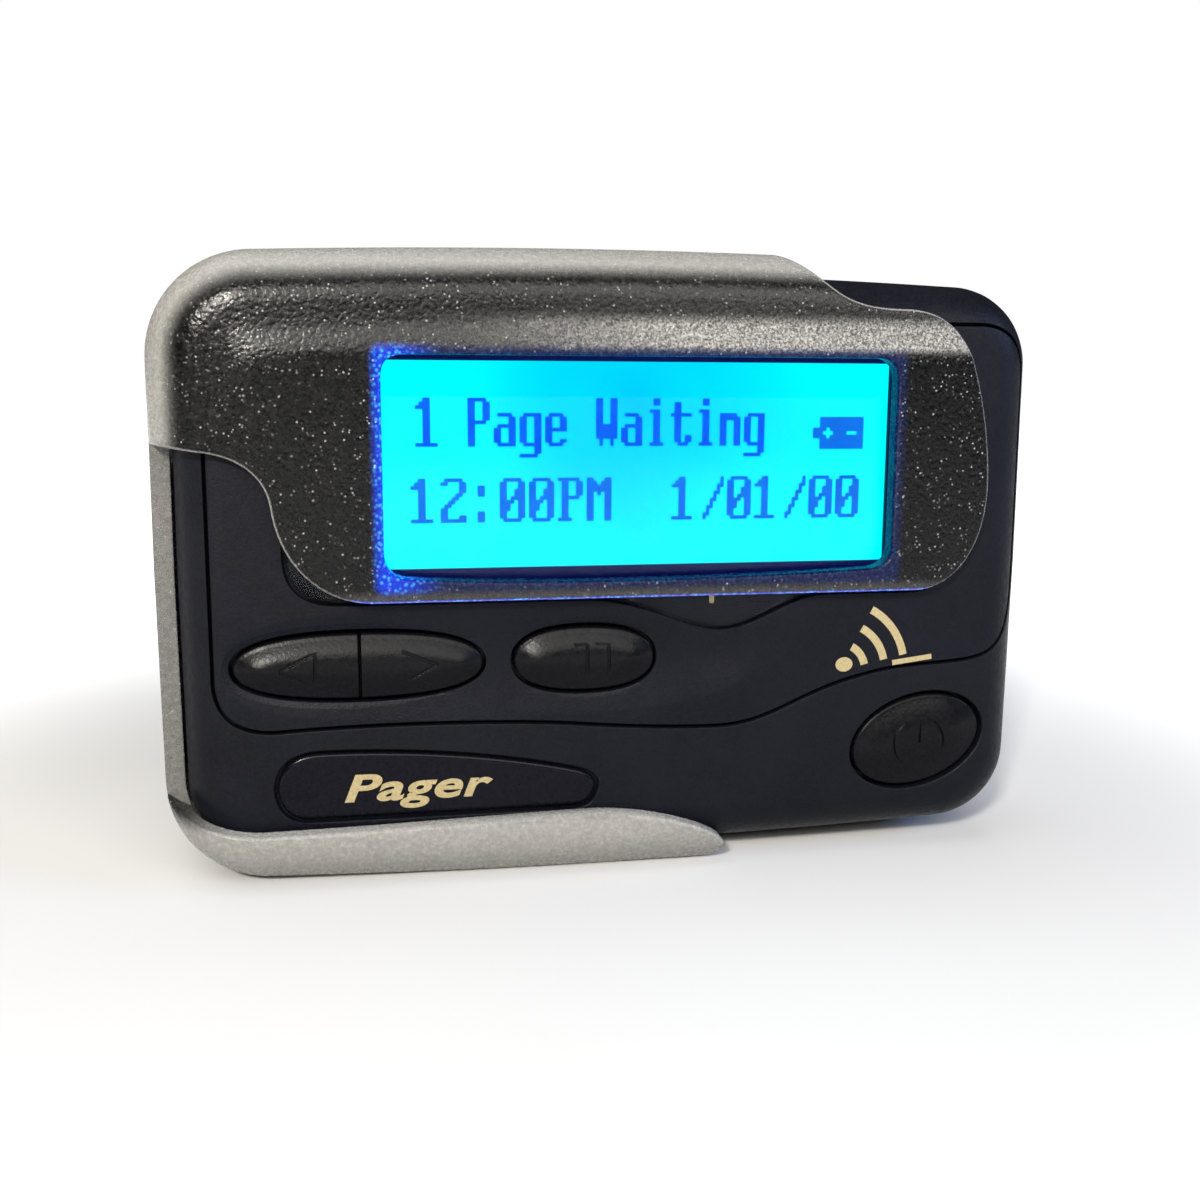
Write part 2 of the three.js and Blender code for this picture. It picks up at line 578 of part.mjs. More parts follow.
// ---------------------------------------------------------------- pager case
function frontHousing() {
  const recess = prism(insetOutline(faceplateOutline(), -SEAM_GAP / 2), -1, CASE_SPLIT - 1);
  const recessLayer = recess.subtract(caseForm(FACEPLATE_THICKNESS + SEAT_GAP));
  const labelDepth = NAMEPLATE_THICKNESS + SEAT_GAP * 2;
  const label = prism(insetOutline(nameplateOutline(), -SEAM_GAP / 2), -1, labelDepth);
  const aperture = block(
    DISPLAY_LEFT - 0.6, DISPLAY_RIGHT + 0.6, -1, CASE_WALL + 1, DISPLAY_BOTTOM - 0.6, DISPLAY_TOP + 0.6,
  );
  const bossRadius = SCREW_RADIUS + SCREW_CLEARANCE + BOSS_WALL;
  const shell = caseOuter.subtract(caseInner);
  const bosses = screwPlaces.map(([x, z]) => {
    return barY(x, z, bossRadius, CASE_WALL - 0.5, BOARD_FRONT - SEAT_GAP, 16).intersect(caseOuter);
  });
  const threads = screwPlaces.map(([x, z]) => {
    return barY(x, z, SCREW_RADIUS + SCREW_CLEARANCE, CASE_WALL, CASE_SPLIT, 12);
  });
  const behindSplit = block(-FAR, FAR, CASE_SPLIT - SEAM_GAP / 2, FAR, -FAR, FAR);
  const holes = keyHoles.map((outline) => prism(outline, -1, CASE_WALL + 1));
  const cuts = [recessLayer, label, aperture, ...threads, ...holes, behindSplit];
  return cutAll(union(shell, ...bosses), cuts);
}

function faceplate() {
  const region = prism(insetOutline(faceplateOutline(), SEAM_GAP / 2), -1, CASE_SPLIT - 1);
  const layer = caseOuter.subtract(caseForm(FACEPLATE_THICKNESS));
  const lensHole = prism(insetOutline(lensOutline(), -SEAM_GAP / 2), -1, CASE_WALL);
  const holes = [rockerOutline(0), readKeyOutline(0)].map((outline) => prism(outline, -1, CASE_WALL));
  return cutAll(layer.intersect(region), [lensHole, ...holes]);
}

function displayLens() {
  return prism(insetOutline(lensOutline(), SEAM_GAP / 2), SEAT_GAP, FACEPLATE_THICKNESS);
}

function nameplate() {
  return roundedPlate(insetOutline(nameplateOutline(), SEAM_GAP / 2), SEAT_GAP, NAMEPLATE_THICKNESS, 0.3);
}

// ---------------------------------------------------------------- keys
// A cap that stands out of the face, with a rim behind it.
function keyCap(outlineAt) {
  const cap = roundedPlate(outlineAt(KEY_GAP), -KEY_PROUD, FLANGE_BACK, 0.5);
  const rim = prism(insetOutline(outlineAt(KEY_GAP), -KEY_FLANGE), FLANGE_FRONT, FLANGE_BACK);
  return cap.add(rim);
}

function leftKey() {
  const half = block(-FAR, ROCKER_SPLIT - SEAM_GAP / 2, -FAR, FAR, -FAR, FAR);
  return keyCap(rockerOutline).intersect(half);
}

function rightKey() {
  const half = block(ROCKER_SPLIT + SEAM_GAP / 2, FAR, -FAR, FAR, -FAR, FAR);
  return keyCap(rockerOutline).intersect(half);
}

// Rubber sheet under the three keys in the row, with a raised pad behind each.
function keypadMembrane() {
  const sheetTop = DISPLAY_BOTTOM - GLASS_BORDER - GLASS_LEDGE - HOLDER_WALL - SEAM_GAP;
  const sheet = block(
    ROCKER_LEFT - 1, READ_KEY_RIGHT + 1, PAD_FRONT + 0.3, PAD_BACK, KEY_ROW_Z - 4.5, sheetTop,
  );
  const pads = keySpots.slice(0, 3).map(([x, z]) => barY(x, z, 2, PAD_FRONT, PAD_BACK, 16));
  return union(sheet, ...pads);
}

function powerKeyPad() {
  const [x, z] = keySpots[3];
  return barY(x, z, 3.5, PAD_FRONT, PAD_BACK, 20);
}

const keySpots = [
  [(ROCKER_LEFT + ROCKER_SPLIT) / 2, KEY_ROW_Z],
  [(ROCKER_RIGHT + ROCKER_SPLIT) / 2, KEY_ROW_Z],
  [(READ_KEY_LEFT + READ_KEY_RIGHT) / 2, KEY_ROW_Z],
  [POWER_KEY_X, POWER_KEY_Z],
];

// A low dome switch on the board behind one key.
function keySwitch([x, z]) {
  const front = BOARD_FRONT - SEAT_GAP - SWITCH_THICKNESS;
  return barY(x, z, 2.2, front, BOARD_FRONT - SEAT_GAP, 16);
}

// ---------------------------------------------------------------- display
const GLASS_LEFT = DISPLAY_LEFT - GLASS_BORDER;
const GLASS_RIGHT = DISPLAY_RIGHT + GLASS_BORDER;
const GLASS_TOP = DISPLAY_TOP + GLASS_BORDER;
const GLASS_LOW = DISPLAY_BOTTOM - GLASS_BORDER;

function displayGlass() {
  const middle = (GLASS_FRONT + GLASS_BACK) / 2;
  const frontPlate = block(GLASS_LEFT, GLASS_RIGHT, GLASS_FRONT, middle + 0.1, GLASS_LOW, GLASS_TOP);
  const ledge = GLASS_LOW - GLASS_LEDGE;
  const rearPlate = block(GLASS_LEFT, GLASS_RIGHT, middle, GLASS_BACK, ledge, GLASS_TOP);
  return frontPlate.add(rearPlate);
}

function displayHolder() {
  const grow = SEAT_GAP * 2;
  const wall = grow + HOLDER_WALL;
  const low = GLASS_LOW - GLASS_LEDGE;
  const outer = block(
    GLASS_LEFT - wall, GLASS_RIGHT + wall, GLASS_FRONT, BOARD_FRONT - SEAT_GAP,
    low - wall, GLASS_TOP + wall,
  );
  const inner = block(GLASS_LEFT - grow, GLASS_RIGHT + grow, -FAR, FAR, low - grow, GLASS_TOP + grow);
  return outer.subtract(inner);
}

function backlightPanel() {
  return block(
    DISPLAY_LEFT - 1, DISPLAY_RIGHT + 1, BACKLIGHT_FRONT, BACKLIGHT_BACK,
    DISPLAY_BOTTOM - 0.8, DISPLAY_TOP + 0.8,
  );
}

// Striped rubber connector between the glass's ledge and the board.
function ledgeConnector() {
  const low = GLASS_LOW - GLASS_LEDGE + 0.1;
  const front = GLASS_BACK + SEAT_GAP;
  return block(DISPLAY_LEFT, DISPLAY_RIGHT, front, BOARD_FRONT - SEAT_GAP, low, low + 1.4);
}

// ---------------------------------------------------------------- insides
function mainBoard() {
  const sheet = prism(caseOutline(CASE_WALL + BOARD_GAP), BOARD_FRONT, BOARD_BACK);
  const holes = screwPlaces.map(([x, z]) => {
    return barY(x, z, SCREW_RADIUS + SCREW_CLEARANCE, BOARD_FRONT - 1, BOARD_BACK + 1, 12);
  });
  return cutAll(sheet, holes);
}

// A thin metal can over the receiver, open towards the board.
function receiverShield() {
  const x0 = DISPLAY_MIDDLE - 1;
  const x1 = x0 + 26;
  const z1 = TOP - 8;
  const z0 = z1 - 19;
  const y0 = BOARD_BACK + SEAT_GAP;
  const y1 = y0 + 4.5;
  const wall = 0.5;
  const outer = block(x0, x1, y0, y1, z0, z1);
  const inner = block(x0 + wall, x1 - wall, y0 - 1, y1 - wall, z0 + wall, z1 - wall);
  return outer.subtract(inner);
}

function processorChip() {
  const y0 = BOARD_BACK + SEAT_GAP;
  return block(-15, -4, y0, y0 + 1.5, DISPLAY_BOTTOM + 1, DISPLAY_BOTTOM + 12);
}

function crystalCan() {
  const y0 = BOARD_BACK + SEAT_GAP;
  return prism(roundedRectangle(-12, -2, BAY_TOP + 2, BAY_TOP + 6, 1.9), y0, y0 + 3.5);
}

const MOTOR_RIGHT = -14;
const MOTOR_LEFT = MOTOR_RIGHT - MOTOR_LENGTH;
const MOTOR_Y = BOARD_BACK + SEAM_GAP + WEIGHT_RADIUS + 0.4;
const MOTOR_Z = TOP - 9.5;

function motorCan() {
  return barX(MOTOR_Y, MOTOR_Z, MOTOR_RADIUS, MOTOR_LEFT, MOTOR_RIGHT, 20);
}

// Off-centre weight and the shaft it is pressed onto.
function motorWeight() {
  const right = MOTOR_LEFT - 1;
  const disc = barX(MOTOR_Y, MOTOR_Z, WEIGHT_RADIUS, right - WEIGHT_THICKNESS, right, 20);
  const upper = block(-FAR, FAR, -FAR, FAR, MOTOR_Z + SHAFT_RADIUS, FAR);
  const shaft = barX(MOTOR_Y, MOTOR_Z, SHAFT_RADIUS, right - WEIGHT_THICKNESS, MOTOR_LEFT - SEAM_GAP, 12);
  const hub = barX(MOTOR_Y, MOTOR_Z, SHAFT_RADIUS * 2.2, right - WEIGHT_THICKNESS, right, 12);
  return union(disc.subtract(upper), shaft, hub);
}

// Rubber block that holds the motor off the board and the back.
function motorCradle() {
  const half = MOTOR_RADIUS + 1.2;
  const x0 = MOTOR_LEFT + 2;
  const x1 = MOTOR_RIGHT - 2;
  const body = block(x0, x1, BOARD_BACK + SEAT_GAP, MOTOR_Y + half, MOTOR_Z - half, MOTOR_Z + half);
  return body.subtract(barX(MOTOR_Y, MOTOR_Z, MOTOR_RADIUS + SEAM_GAP, x0 - 1, x1 + 1, 20));
}

const BUZZER_X = LEFT + 13;
const BUZZER_Z = BAY_TOP + BUZZER_RADIUS + 3;

function buzzer() {
  const y0 = BOARD_BACK + SEAT_GAP;
  const body = barY(BUZZER_X, BUZZER_Z, BUZZER_RADIUS, y0, y0 + BUZZER_THICKNESS, 28);
  const port = barY(BUZZER_X, BUZZER_Z, 1.2, y0 + 2, y0 + BUZZER_THICKNESS + 1, 12);
  return body.subtract(port);
}

// A flat copper band bent down at both ends, along the top of the case. Its ends stop above the
// circle the motor's weight turns in.
function loopAntenna() {
  const x0 = LEFT + 12;
  const x1 = RIGHT - 12;
  const z1 = TOP - CASE_WALL - 1.2;
  const z0 = MOTOR_Z + WEIGHT_RADIUS + SEAM_GAP * 2;
  const band = 0.5;
  const y0 = BOARD_BACK + SEAT_GAP;
  const outer = block(x0, x1, y0, y0 + 5, z0, z1);
  return outer.subtract(block(x0 + band, x1 - band, y0 - 1, y0 + 6, z0 - 1, z1 - band));
}

function batteryCell() {
  const nub = 1;
  const can = barX(CELL_Y, CELL_Z, CELL_RADIUS, CELL_LEFT + nub, CELL_RIGHT, 28);
  return can.add(barX(CELL_Y, CELL_Z, 1.9, CELL_LEFT, CELL_LEFT + nub + 0.1, 16));
}

function batteryContact() {
  const x1 = CELL_LEFT - SEAM_GAP;
  return block(x1 - CONTACT_THICKNESS, x1, CELL_Y - 3, CELL_Y + 3, CELL_Z - 3.5, CELL_Z + 3.5);
}

// Points of a coil round the X axis.
function coilPath(x0, x1, radius0, radius1, turns, y, z) {
  const steps = Math.round(turns * 10);
  const points = [];
  for (let i = 0; i <= steps; i += 1) {
    const share = i / steps;
    const angle = share * turns * 2 * Math.PI;
    const radius = radius0 + (radius1 - radius0) * share;
    const x = x0 + (x1 - x0) * share;
    points.push(new THREE.Vector3(x, y + radius * Math.cos(angle), z + radius * Math.sin(angle)));
  }
  return points;
}

function wire(points, radius, steps) {
  const shape = new THREE.Shape();
  shape.absellipse(0, 0, radius, radius, 0, 2 * Math.PI);
  const section = new THREE.Shape(outlinePoints(shape, 3));
  const path = new THREE.CatmullRomCurve3(points);
  return solid(new THREE.ExtrudeGeometry(section, { steps, extrudePath: path, bevelEnabled: false }));
}

function batterySpring() {
  const wireRadius = 0.35;
  const x0 = CELL_RIGHT + SEAM_GAP + wireRadius;
  const x1 = RIGHT - CASE_WALL - SIDE_CROWN - SEAM_GAP - wireRadius;
  return wire(coilPath(x0, x1, 1.6, 2.4, 3, CELL_Y, CELL_Z), wireRadius, 36);
}

// ---------------------------------------------------------------- back of the case
// The door's edge as seen from behind: from past the bay's left wall to beyond the right end.
function doorRegion(inset) {
  const x0 = BAY_LEFT - DOOR_LIP + inset;
  const z0 = BAY_BOTTOM - DOOR_LIP + inset;
  const z1 = BAY_TOP + DOOR_LIP - inset;
  const shape = new THREE.Shape();
  shape.moveTo(x0 + 2, z0);
  shape.lineTo(FAR, z0);
  shape.lineTo(FAR, z1);
  shape.lineTo(x0 + 2, z1);
  shape.quadraticCurveTo(x0, z1, x0, z1 - 2);
  shape.lineTo(x0, z0 + 2);
  shape.quadraticCurveTo(x0, z0, x0 + 2, z0);
  return outlinePoints(shape, 4);
}

const DOOR_FRONT = PAGER_DEPTH - BACK_ROUND;

function backHousing() {
  const headRadius = SCREW_HEAD_RADIUS + SCREW_CLEARANCE;
  const shell = caseOuter.subtract(caseInner);
  const bosses = screwPlaces.map(([x, z]) => {
    const boss = barY(x, z, headRadius + BOSS_WALL, BOARD_BACK + SEAT_GAP, PAGER_DEPTH - 1, 20);
    return boss.intersect(caseForm(0.5));
  });
  const bayOuter = block(
    BAY_LEFT - BAY_WALL, RIGHT - 1, CASE_SPLIT + SEAM_GAP, PAGER_DEPTH - CASE_WALL + 0.5,
    BAY_TOP, BAY_TOP + BAY_WALL,
  );
  const bayEnd = block(
    BAY_LEFT - BAY_WALL, BAY_LEFT, CASE_SPLIT + SEAM_GAP, PAGER_DEPTH - CASE_WALL + 0.5,
    BAY_BOTTOM, BAY_TOP + BAY_WALL,
  );
  const walls = union(bayOuter, bayEnd).intersect(caseForm(0.5));
  const shanks = screwPlaces.map(([x, z]) => {
    return barY(x, z, SCREW_RADIUS + SCREW_CLEARANCE, 0, PAGER_DEPTH + 1, 12);
  });
  const heads = screwPlaces.map(([x, z]) => {
    return barY(x, z, headRadius, SCREW_HEAD_FRONT - SEAT_GAP, PAGER_DEPTH + 1, 16);
  });
  const doorLayer = prism(doorRegion(0), DOOR_FRONT - SEAM_GAP, FAR);
  const doorSeat = doorLayer.subtract(caseForm(DOOR_THICKNESS + SEAM_GAP));
  const bayMouth = block(BAY_LEFT, CELL_RIGHT + SPRING_SPACE - 1, BOARD_BACK, FAR, BAY_BOTTOM, BAY_TOP);
  const soundSlots = [-2, 0, 2].map((shift) => {
    const z = BUZZER_Z + shift;
    return block(BUZZER_X - 4, BUZZER_X + 4, PAGER_DEPTH - CASE_WALL - 1, FAR, z - 0.4, z + 0.4);
  });
  const beforeSplit = block(-FAR, FAR, -FAR, CASE_SPLIT + SEAM_GAP / 2, -FAR, FAR);
  const keptBosses = union(...bosses);
  const body = union(cutAll(shell, [beforeSplit]), keptBosses, walls);
  return cutAll(body, [...shanks, ...heads, doorSeat, bayMouth, ...soundSlots]);
}

function batteryDoor() {
  const layer = caseOuter.subtract(caseForm(DOOR_THICKNESS));
  const behind = block(-FAR, FAR, DOOR_FRONT, FAR, -FAR, FAR);
  return layer.intersect(prism(doorRegion(SEAM_GAP), 0, FAR)).intersect(behind);
}

function screw([x, z]) {
  const y0 = SCREW_HEAD_FRONT;
  const tip = CASE_WALL + SEAM_GAP;
  const profile = [
    [0, tip], [SCREW_RADIUS * 0.6, tip], [SCREW_RADIUS, tip + 0.8], [SCREW_RADIUS, y0],
    [SCREW_HEAD_RADIUS, y0], [SCREW_HEAD_RADIUS, y0 + SCREW_HEAD_THICKNESS - 0.5],
    [SCREW_HEAD_RADIUS * 0.7, y0 + SCREW_HEAD_THICKNESS], [0, y0 + SCREW_HEAD_THICKNESS],
  ];
  const geometry = new THREE.LatheGeometry(profile.map(([r, y]) => new THREE.Vector2(r, y)), 14);
  geometry.translate(x, 0, z);
  const slot = block(x - 1.3, x + 1.3, y0 + SCREW_HEAD_THICKNESS - 0.5, FAR, z - 0.25, z + 0.25);
  return solid(geometry).subtract(slot);
}

// ---------------------------------------------------------------- holster
// The space the pager slides through: its own form with a clearance, swept to the right.
function holsterCavity() {
  const grow = -HOLSTER_CLEARANCE;
  const section = [];
  const low = BOTTOM + grow;
  const high = TOP - grow;
  const front = grow;
  const back = PAGER_DEPTH - grow;
  const frontRound = FRONT_ROUND - grow;
  const backRound = BACK_ROUND - grow;
  const corner = (y, z, radius, from) => {
    for (let i = 0; i <= 5; i += 1) {
      const angle = from + (i / 5) * (Math.PI / 2);
      section.push(new THREE.Vector2(y + radius * Math.cos(angle), z + radius * Math.sin(angle)));
    }
  };
  corner(back - backRound, high - backRound, backRound, 0);
  corner(front + frontRound, high - frontRound, frontRound, Math.PI / 2);
  corner(front + frontRound, low + frontRound, frontRound, Math.PI);
  corner(back - backRound, low + backRound, backRound, 1.5 * Math.PI);
  return caseForm(grow).add(prismX(section, 0, FAR));
}

function clipEars() {
  const reach = CLIP_WIDTH / 2 + SEAM_GAP;
  const low = CLIP_PIN_Z - BARREL_RADIUS;
  const high = CLIP_PIN_Z + BARREL_RADIUS;
  const ears = [-1, 1].map((side) => {
    const inner = side * reach;
    const outer = side * (reach + EAR_THICKNESS);
    const x0 = Math.min(inner, outer);
    const x1 = Math.max(inner, outer);
    const root = block(x0, x1, HOLSTER_BACK - 1, PIN_Y, low, high);
    return root.add(barX(PIN_Y, CLIP_PIN_Z, BARREL_RADIUS, x0, x1, 20));
  });
  const bore = barX(PIN_Y, CLIP_PIN_Z, PIN_RADIUS + PIN_CLEARANCE, -FAR, FAR, 16);
  return ears.map((ear) => ear.subtract(bore));
}

function holsterShell() {
  const shell = caseForm(-SHELL_GROWTH).subtract(holsterCavity());
  const endWall = block(-FAR, LEFT + CORNER_RADIUS, SIDE_CUTBACK, FAR, LIP_TOP - 2, HOOD_LOW + 16);
  const plateOutline = roundedRectangle(
    -FAR, BACK_PLATE_RIGHT, BOTTOM + 3, TOP - 3, BACK_PLATE_RADIUS,
  );
  const kept = union(
    prism(hoodRegion(), -FAR, FAR),
    prism(lipRegion(), -FAR, FAR),
    endWall,
    prism(plateOutline, PAGER_DEPTH - 0.5, FAR),
  );
  const window = prism(windowOutline(), -FAR, 1);
  const underBase = block(-FAR, FAR, -FAR, FAR, -FAR, BASE_Z);
  return union(shell.intersect(kept).subtract(window).subtract(underBase), ...clipEars());
}

// ---------------------------------------------------------------- belt clip
function beltClip() {
  const x0 = -CLIP_WIDTH / 2;
  const x1 = CLIP_WIDTH / 2;
  const foot = HOLSTER_BACK + SEAM_GAP;
  const profile = new THREE.Shape();
  profile.moveTo(CLIP_INNER - 1, CLIP_TAB_TOP);
  profile.lineTo(CLIP_INNER - 1 + CLIP_THICKNESS, CLIP_TAB_TOP);
  profile.lineTo(CLIP_OUTER, CLIP_PIN_Z);
  profile.lineTo(CLIP_OUTER, CLIP_FOOT_Z + 5);
  profile.quadraticCurveTo(CLIP_OUTER, CLIP_FOOT_Z, foot + 3.4, CLIP_FOOT_Z - 1);
  profile.lineTo(foot + 1, CLIP_FOOT_Z + 0.2);
  profile.quadraticCurveTo(foot, CLIP_FOOT_Z + 1, foot, CLIP_FOOT_Z + 1.6);
  profile.quadraticCurveTo(foot + 0.4, CLIP_FOOT_Z + 2.6, foot + 2.4, CLIP_FOOT_Z + 3);
  profile.quadraticCurveTo(CLIP_INNER, CLIP_FOOT_Z + 3.4, CLIP_INNER, CLIP_FOOT_Z + 7);
  profile.lineTo(CLIP_INNER, CLIP_PIN_Z);
  const arm = prismX(outlinePoints(profile, 6), x0, x1);
  const barrel = barX(PIN_Y, CLIP_PIN_Z, BARREL_RADIUS, x0, x1, 20);
  const bridge = block(x0, x1, PIN_Y, CLIP_INNER + 0.5, CLIP_PIN_Z - 1.4, CLIP_PIN_Z + 1.4);
  const bore = barX(PIN_Y, CLIP_PIN_Z, PIN_RADIUS + PIN_CLEARANCE, -FAR, FAR, 16);
  const springRoom = block(
    -TORSION_LENGTH / 2 - SEAM_GAP, TORSION_LENGTH / 2 + SEAM_GAP,
    HOLSTER_BACK, PIN_Y + PIN_RADIUS + PIN_CLEARANCE + TORSION_WIRE + SEAM_GAP * 2,
    CLIP_PIN_Z - BARREL_RADIUS - 2, CLIP_PIN_Z + BARREL_RADIUS + 0.5,
  );
  return cutAll(union(arm, barrel, bridge), [bore, springRoom]);
}

function clipPin() {
  const reach = CLIP_WIDTH / 2 + SEAM_GAP + EAR_THICKNESS;
  return barX(PIN_Y, CLIP_PIN_Z, PIN_RADIUS, -reach, reach, 16);
}

// Torsion spring round the pin: one leg lies on the back plate, the other on the arm.
function clipSpring() {
  const wireRadius = TORSION_WIRE / 2;
  const radius = PIN_RADIUS + PIN_CLEARANCE + wireRadius;
  const half = TORSION_LENGTH / 2 - wireRadius;
  const coil = coilPath(-half, half, radius, radius, 3.5, PIN_Y, CLIP_PIN_Z);
  const legZ = CLIP_PIN_Z - BARREL_RADIUS - 4;
  const armLeg = new THREE.Vector3(-half, CLIP_INNER - SEAM_GAP - wireRadius, legZ);
  const plateLeg = new THREE.Vector3(half, HOLSTER_BACK + SEAM_GAP + wireRadius, legZ);
  return wire([armLeg, ...coil, plateLeg], wireRadius, 60);
}

// ---------------------------------------------------------------- assembly
const pager = new THREE.Group();
pager.add(named("front_housing", frontHousing(), casePlastic));
pager.add(named("faceplate", faceplate(), casePlastic));
pager.add(named("display_lens", displayLens(), lensPlastic));
pager.add(named("nameplate", nameplate(), labelBlack));
pager.add(named("left_key", leftKey(), keyPlastic));
pager.add(named("right_key", rightKey(), keyPlastic));
pager.add(named("read_key", keyCap(readKeyOutline), keyPlastic));
pager.add(named("power_key", keyCap(powerKeyOutline), keyPlastic));
pager.add(named("keypad_membrane", keypadMembrane(), rubber));
pager.add(named("power_key_pad", powerKeyPad(), rubber));
keySpots.forEach((spot, i) => {
  pager.add(named(`key_switch_${i + 1}`, keySwitch(spot), steel));
});
pager.add(named("display_glass", displayGlass(), litGlass));
pager.add(named("display_holder", displayHolder(), chipBlack));
pager.add(named("backlight_panel", backlightPanel(), diffuser));
pager.add(named("ledge_connector", ledgeConnector(), rubber));
pager.add(named("main_board", mainBoard(), boardGreen));
pager.add(named("receiver_shield", receiverShield(), steel));
pager.add(named("processor_chip", processorChip(), chipBlack));
pager.add(named("crystal_can", crystalCan(), steel));
pager.add(named("motor_can", motorCan(), steel));
pager.add(named("motor_weight", motorWeight(), brass));
pager.add(named("motor_cradle", motorCradle(), rubber));
pager.add(named("buzzer", buzzer(), chipBlack));
pager.add(named("loop_antenna", loopAntenna(), brass));
pager.add(named("battery_cell", batteryCell(), cellJacket));
pager.add(named("battery_contact", batteryContact(), steel));
pager.add(named("battery_spring", batterySpring(), steel));
pager.add(named("back_housing", backHousing(), casePlastic));
pager.add(named("battery_door", batteryDoor(), casePlastic));
screwPlaces.forEach((place, i) => {
  pager.add(named(`case_screw_${i + 1}`, screw(place), steel));
});

const holster = new THREE.Group();
holster.add(named("holster_shell", holsterShell(), smokePlastic));
holster.add(named("belt_clip", beltClip(), clipPlastic));
holster.add(named("clip_pin", clipPin(), steel));
holster.add(named("clip_spring", clipSpring(), steel));

const object = new THREE.Group();
object.add(holster, pager);
object.position.set(
  -(LEFT - SHELL_GROWTH + RIGHT) / 2,
  -(HOLSTER_FRONT + CLIP_OUTER) / 2,
  -BASE_Z,
);

export default object;
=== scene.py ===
"""Looks of a belt pager in its smoke-grey holster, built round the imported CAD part."""

import math

import bmesh
import bpy
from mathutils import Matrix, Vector


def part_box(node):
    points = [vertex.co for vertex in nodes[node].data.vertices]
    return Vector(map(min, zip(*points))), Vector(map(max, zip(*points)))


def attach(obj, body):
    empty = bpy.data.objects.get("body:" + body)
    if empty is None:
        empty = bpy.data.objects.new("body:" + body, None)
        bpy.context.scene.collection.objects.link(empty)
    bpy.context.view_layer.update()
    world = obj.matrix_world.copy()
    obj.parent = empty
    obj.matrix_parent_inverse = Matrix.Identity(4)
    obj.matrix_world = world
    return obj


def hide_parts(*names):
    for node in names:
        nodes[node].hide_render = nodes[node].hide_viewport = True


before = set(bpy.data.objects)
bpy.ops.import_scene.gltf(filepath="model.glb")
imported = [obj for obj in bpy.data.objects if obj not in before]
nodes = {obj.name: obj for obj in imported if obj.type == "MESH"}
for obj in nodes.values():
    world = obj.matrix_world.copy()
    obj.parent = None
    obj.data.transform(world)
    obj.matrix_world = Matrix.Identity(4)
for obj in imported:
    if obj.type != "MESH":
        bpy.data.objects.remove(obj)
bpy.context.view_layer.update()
scene = bpy.context.scene

# ------------------------------------------------------------ sizes, in millimetres
# Pager frame: X right, Y back, Z up, from the middle of the pager's front face.
MM = 0.001
housing_low, housing_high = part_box("front_housing")
ORIGIN = Vector((
    (housing_low.x + housing_high.x) / 2,
    housing_low.y,
    (housing_low.z + housing_high.z) / 2,
))

WIDTH = 80.0
HEIGHT = 54.0
LEFT = -WIDTH / 2
RIGHT = WIDTH / 2
TOP = HEIGHT / 2
BOTTOM = -HEIGHT / 2
DEPTH = 18.5
EDGE_CROWN = 1.1
SIDE_CROWN = 0.3
CORNER_RADIUS = 7.5
FRONT_ROUND = 4.5
BACK_ROUND = 3.0
CASE_WALL = 2.0
CASE_SPLIT = 9.0
SEAM_GAP = 0.3
SEAT_GAP = 0.1
FACEPLATE_THICKNESS = 0.9
EDGE_ROUND = 0.16  # on the moulded edges of the pager

DISPLAY_LEFT = LEFT + 17.65
DISPLAY_RIGHT = RIGHT - 15.15
DISPLAY_TOP = TOP - 8.45
DISPLAY_BOTTOM = BOTTOM + 27.95
WINDOW_LEFT = DISPLAY_LEFT + 0.4
WINDOW_RIGHT = DISPLAY_RIGHT
WINDOW_TOP = DISPLAY_TOP + 0.85
WINDOW_LOW = DISPLAY_BOTTOM - 1.45
GLASS_BORDER = 2.2
GLASS_LEDGE = 1.2
GLASS_FRONT = CASE_WALL + SEAM_GAP
GLASS_BACK = GLASS_FRONT + 1.8
DOT = 0.334  # pitch of the display's dots

KEY_GAP = 0.35
KEY_PROUD = 0.6
KEY_FLANGE = 0.6
FLANGE_FRONT = CASE_WALL + SEAM_GAP
FLANGE_BACK = FLANGE_FRONT + 0.6
KEY_ROW_Z = BOTTOM + 19
ROCKER_LEFT = LEFT + 4.4
ROCKER_RIGHT = ROCKER_LEFT + 22.7
ROCKER_SPLIT = (ROCKER_LEFT + ROCKER_RIGHT) / 2
ROCKER_HALF = 3.3
READ_LEFT = ROCKER_RIGHT + 2.2
READ_RIGHT = READ_LEFT + 13.7
POWER_X = RIGHT - CASE_WALL - 8.9
POWER_Z = BOTTOM + CASE_WALL + 7.8
POWER_LENGTH = 13.9
POWER_HEIGHT = 9.3
POWER_TILT = math.radians(15)

SCOOP_BOX = (-36.9, 12.6, -13.5, -2.6)  # left, right, low and top of the dish round the keys

PLATE_LEFT = LEFT + 8.1
PLATE_RIGHT = PLATE_LEFT + 29.1
PLATE_LOW = BOTTOM + 4.85
PLATE_TOP = PLATE_LOW + 6.35
PLATE_THICKNESS = 0.6

BOARD_BACK = 6.2
CELL_RADIUS = 5.25
CELL_Z = -18.3
CELL_RIGHT = 33.5
CELL_LEFT = -11.0
BAY_LEFT = CELL_LEFT - 1.0
BAY_TOP = CELL_Z + CELL_RADIUS + SEAM_GAP
BAY_BOTTOM = CELL_Z - CELL_RADIUS - SEAM_GAP
DOOR_THICKNESS = 1.2
DOOR_LIP = 1.4
SCREWS = [(LEFT + 6.4, TOP - 7), (RIGHT - 6.4, TOP - 7), (LEFT + 6.4, BOTTOM + 7)]
SCREW_HEAD_FRONT = CASE_SPLIT + 2
SCREW_BORE = 1.25
SCREW_HEAD_BORE = 2.15
FRONT_BOSS = 2.25
BACK_BOSS = 3.15
BUZZER_X = LEFT + 13
BUZZER_Z = BAY_TOP + 9.5

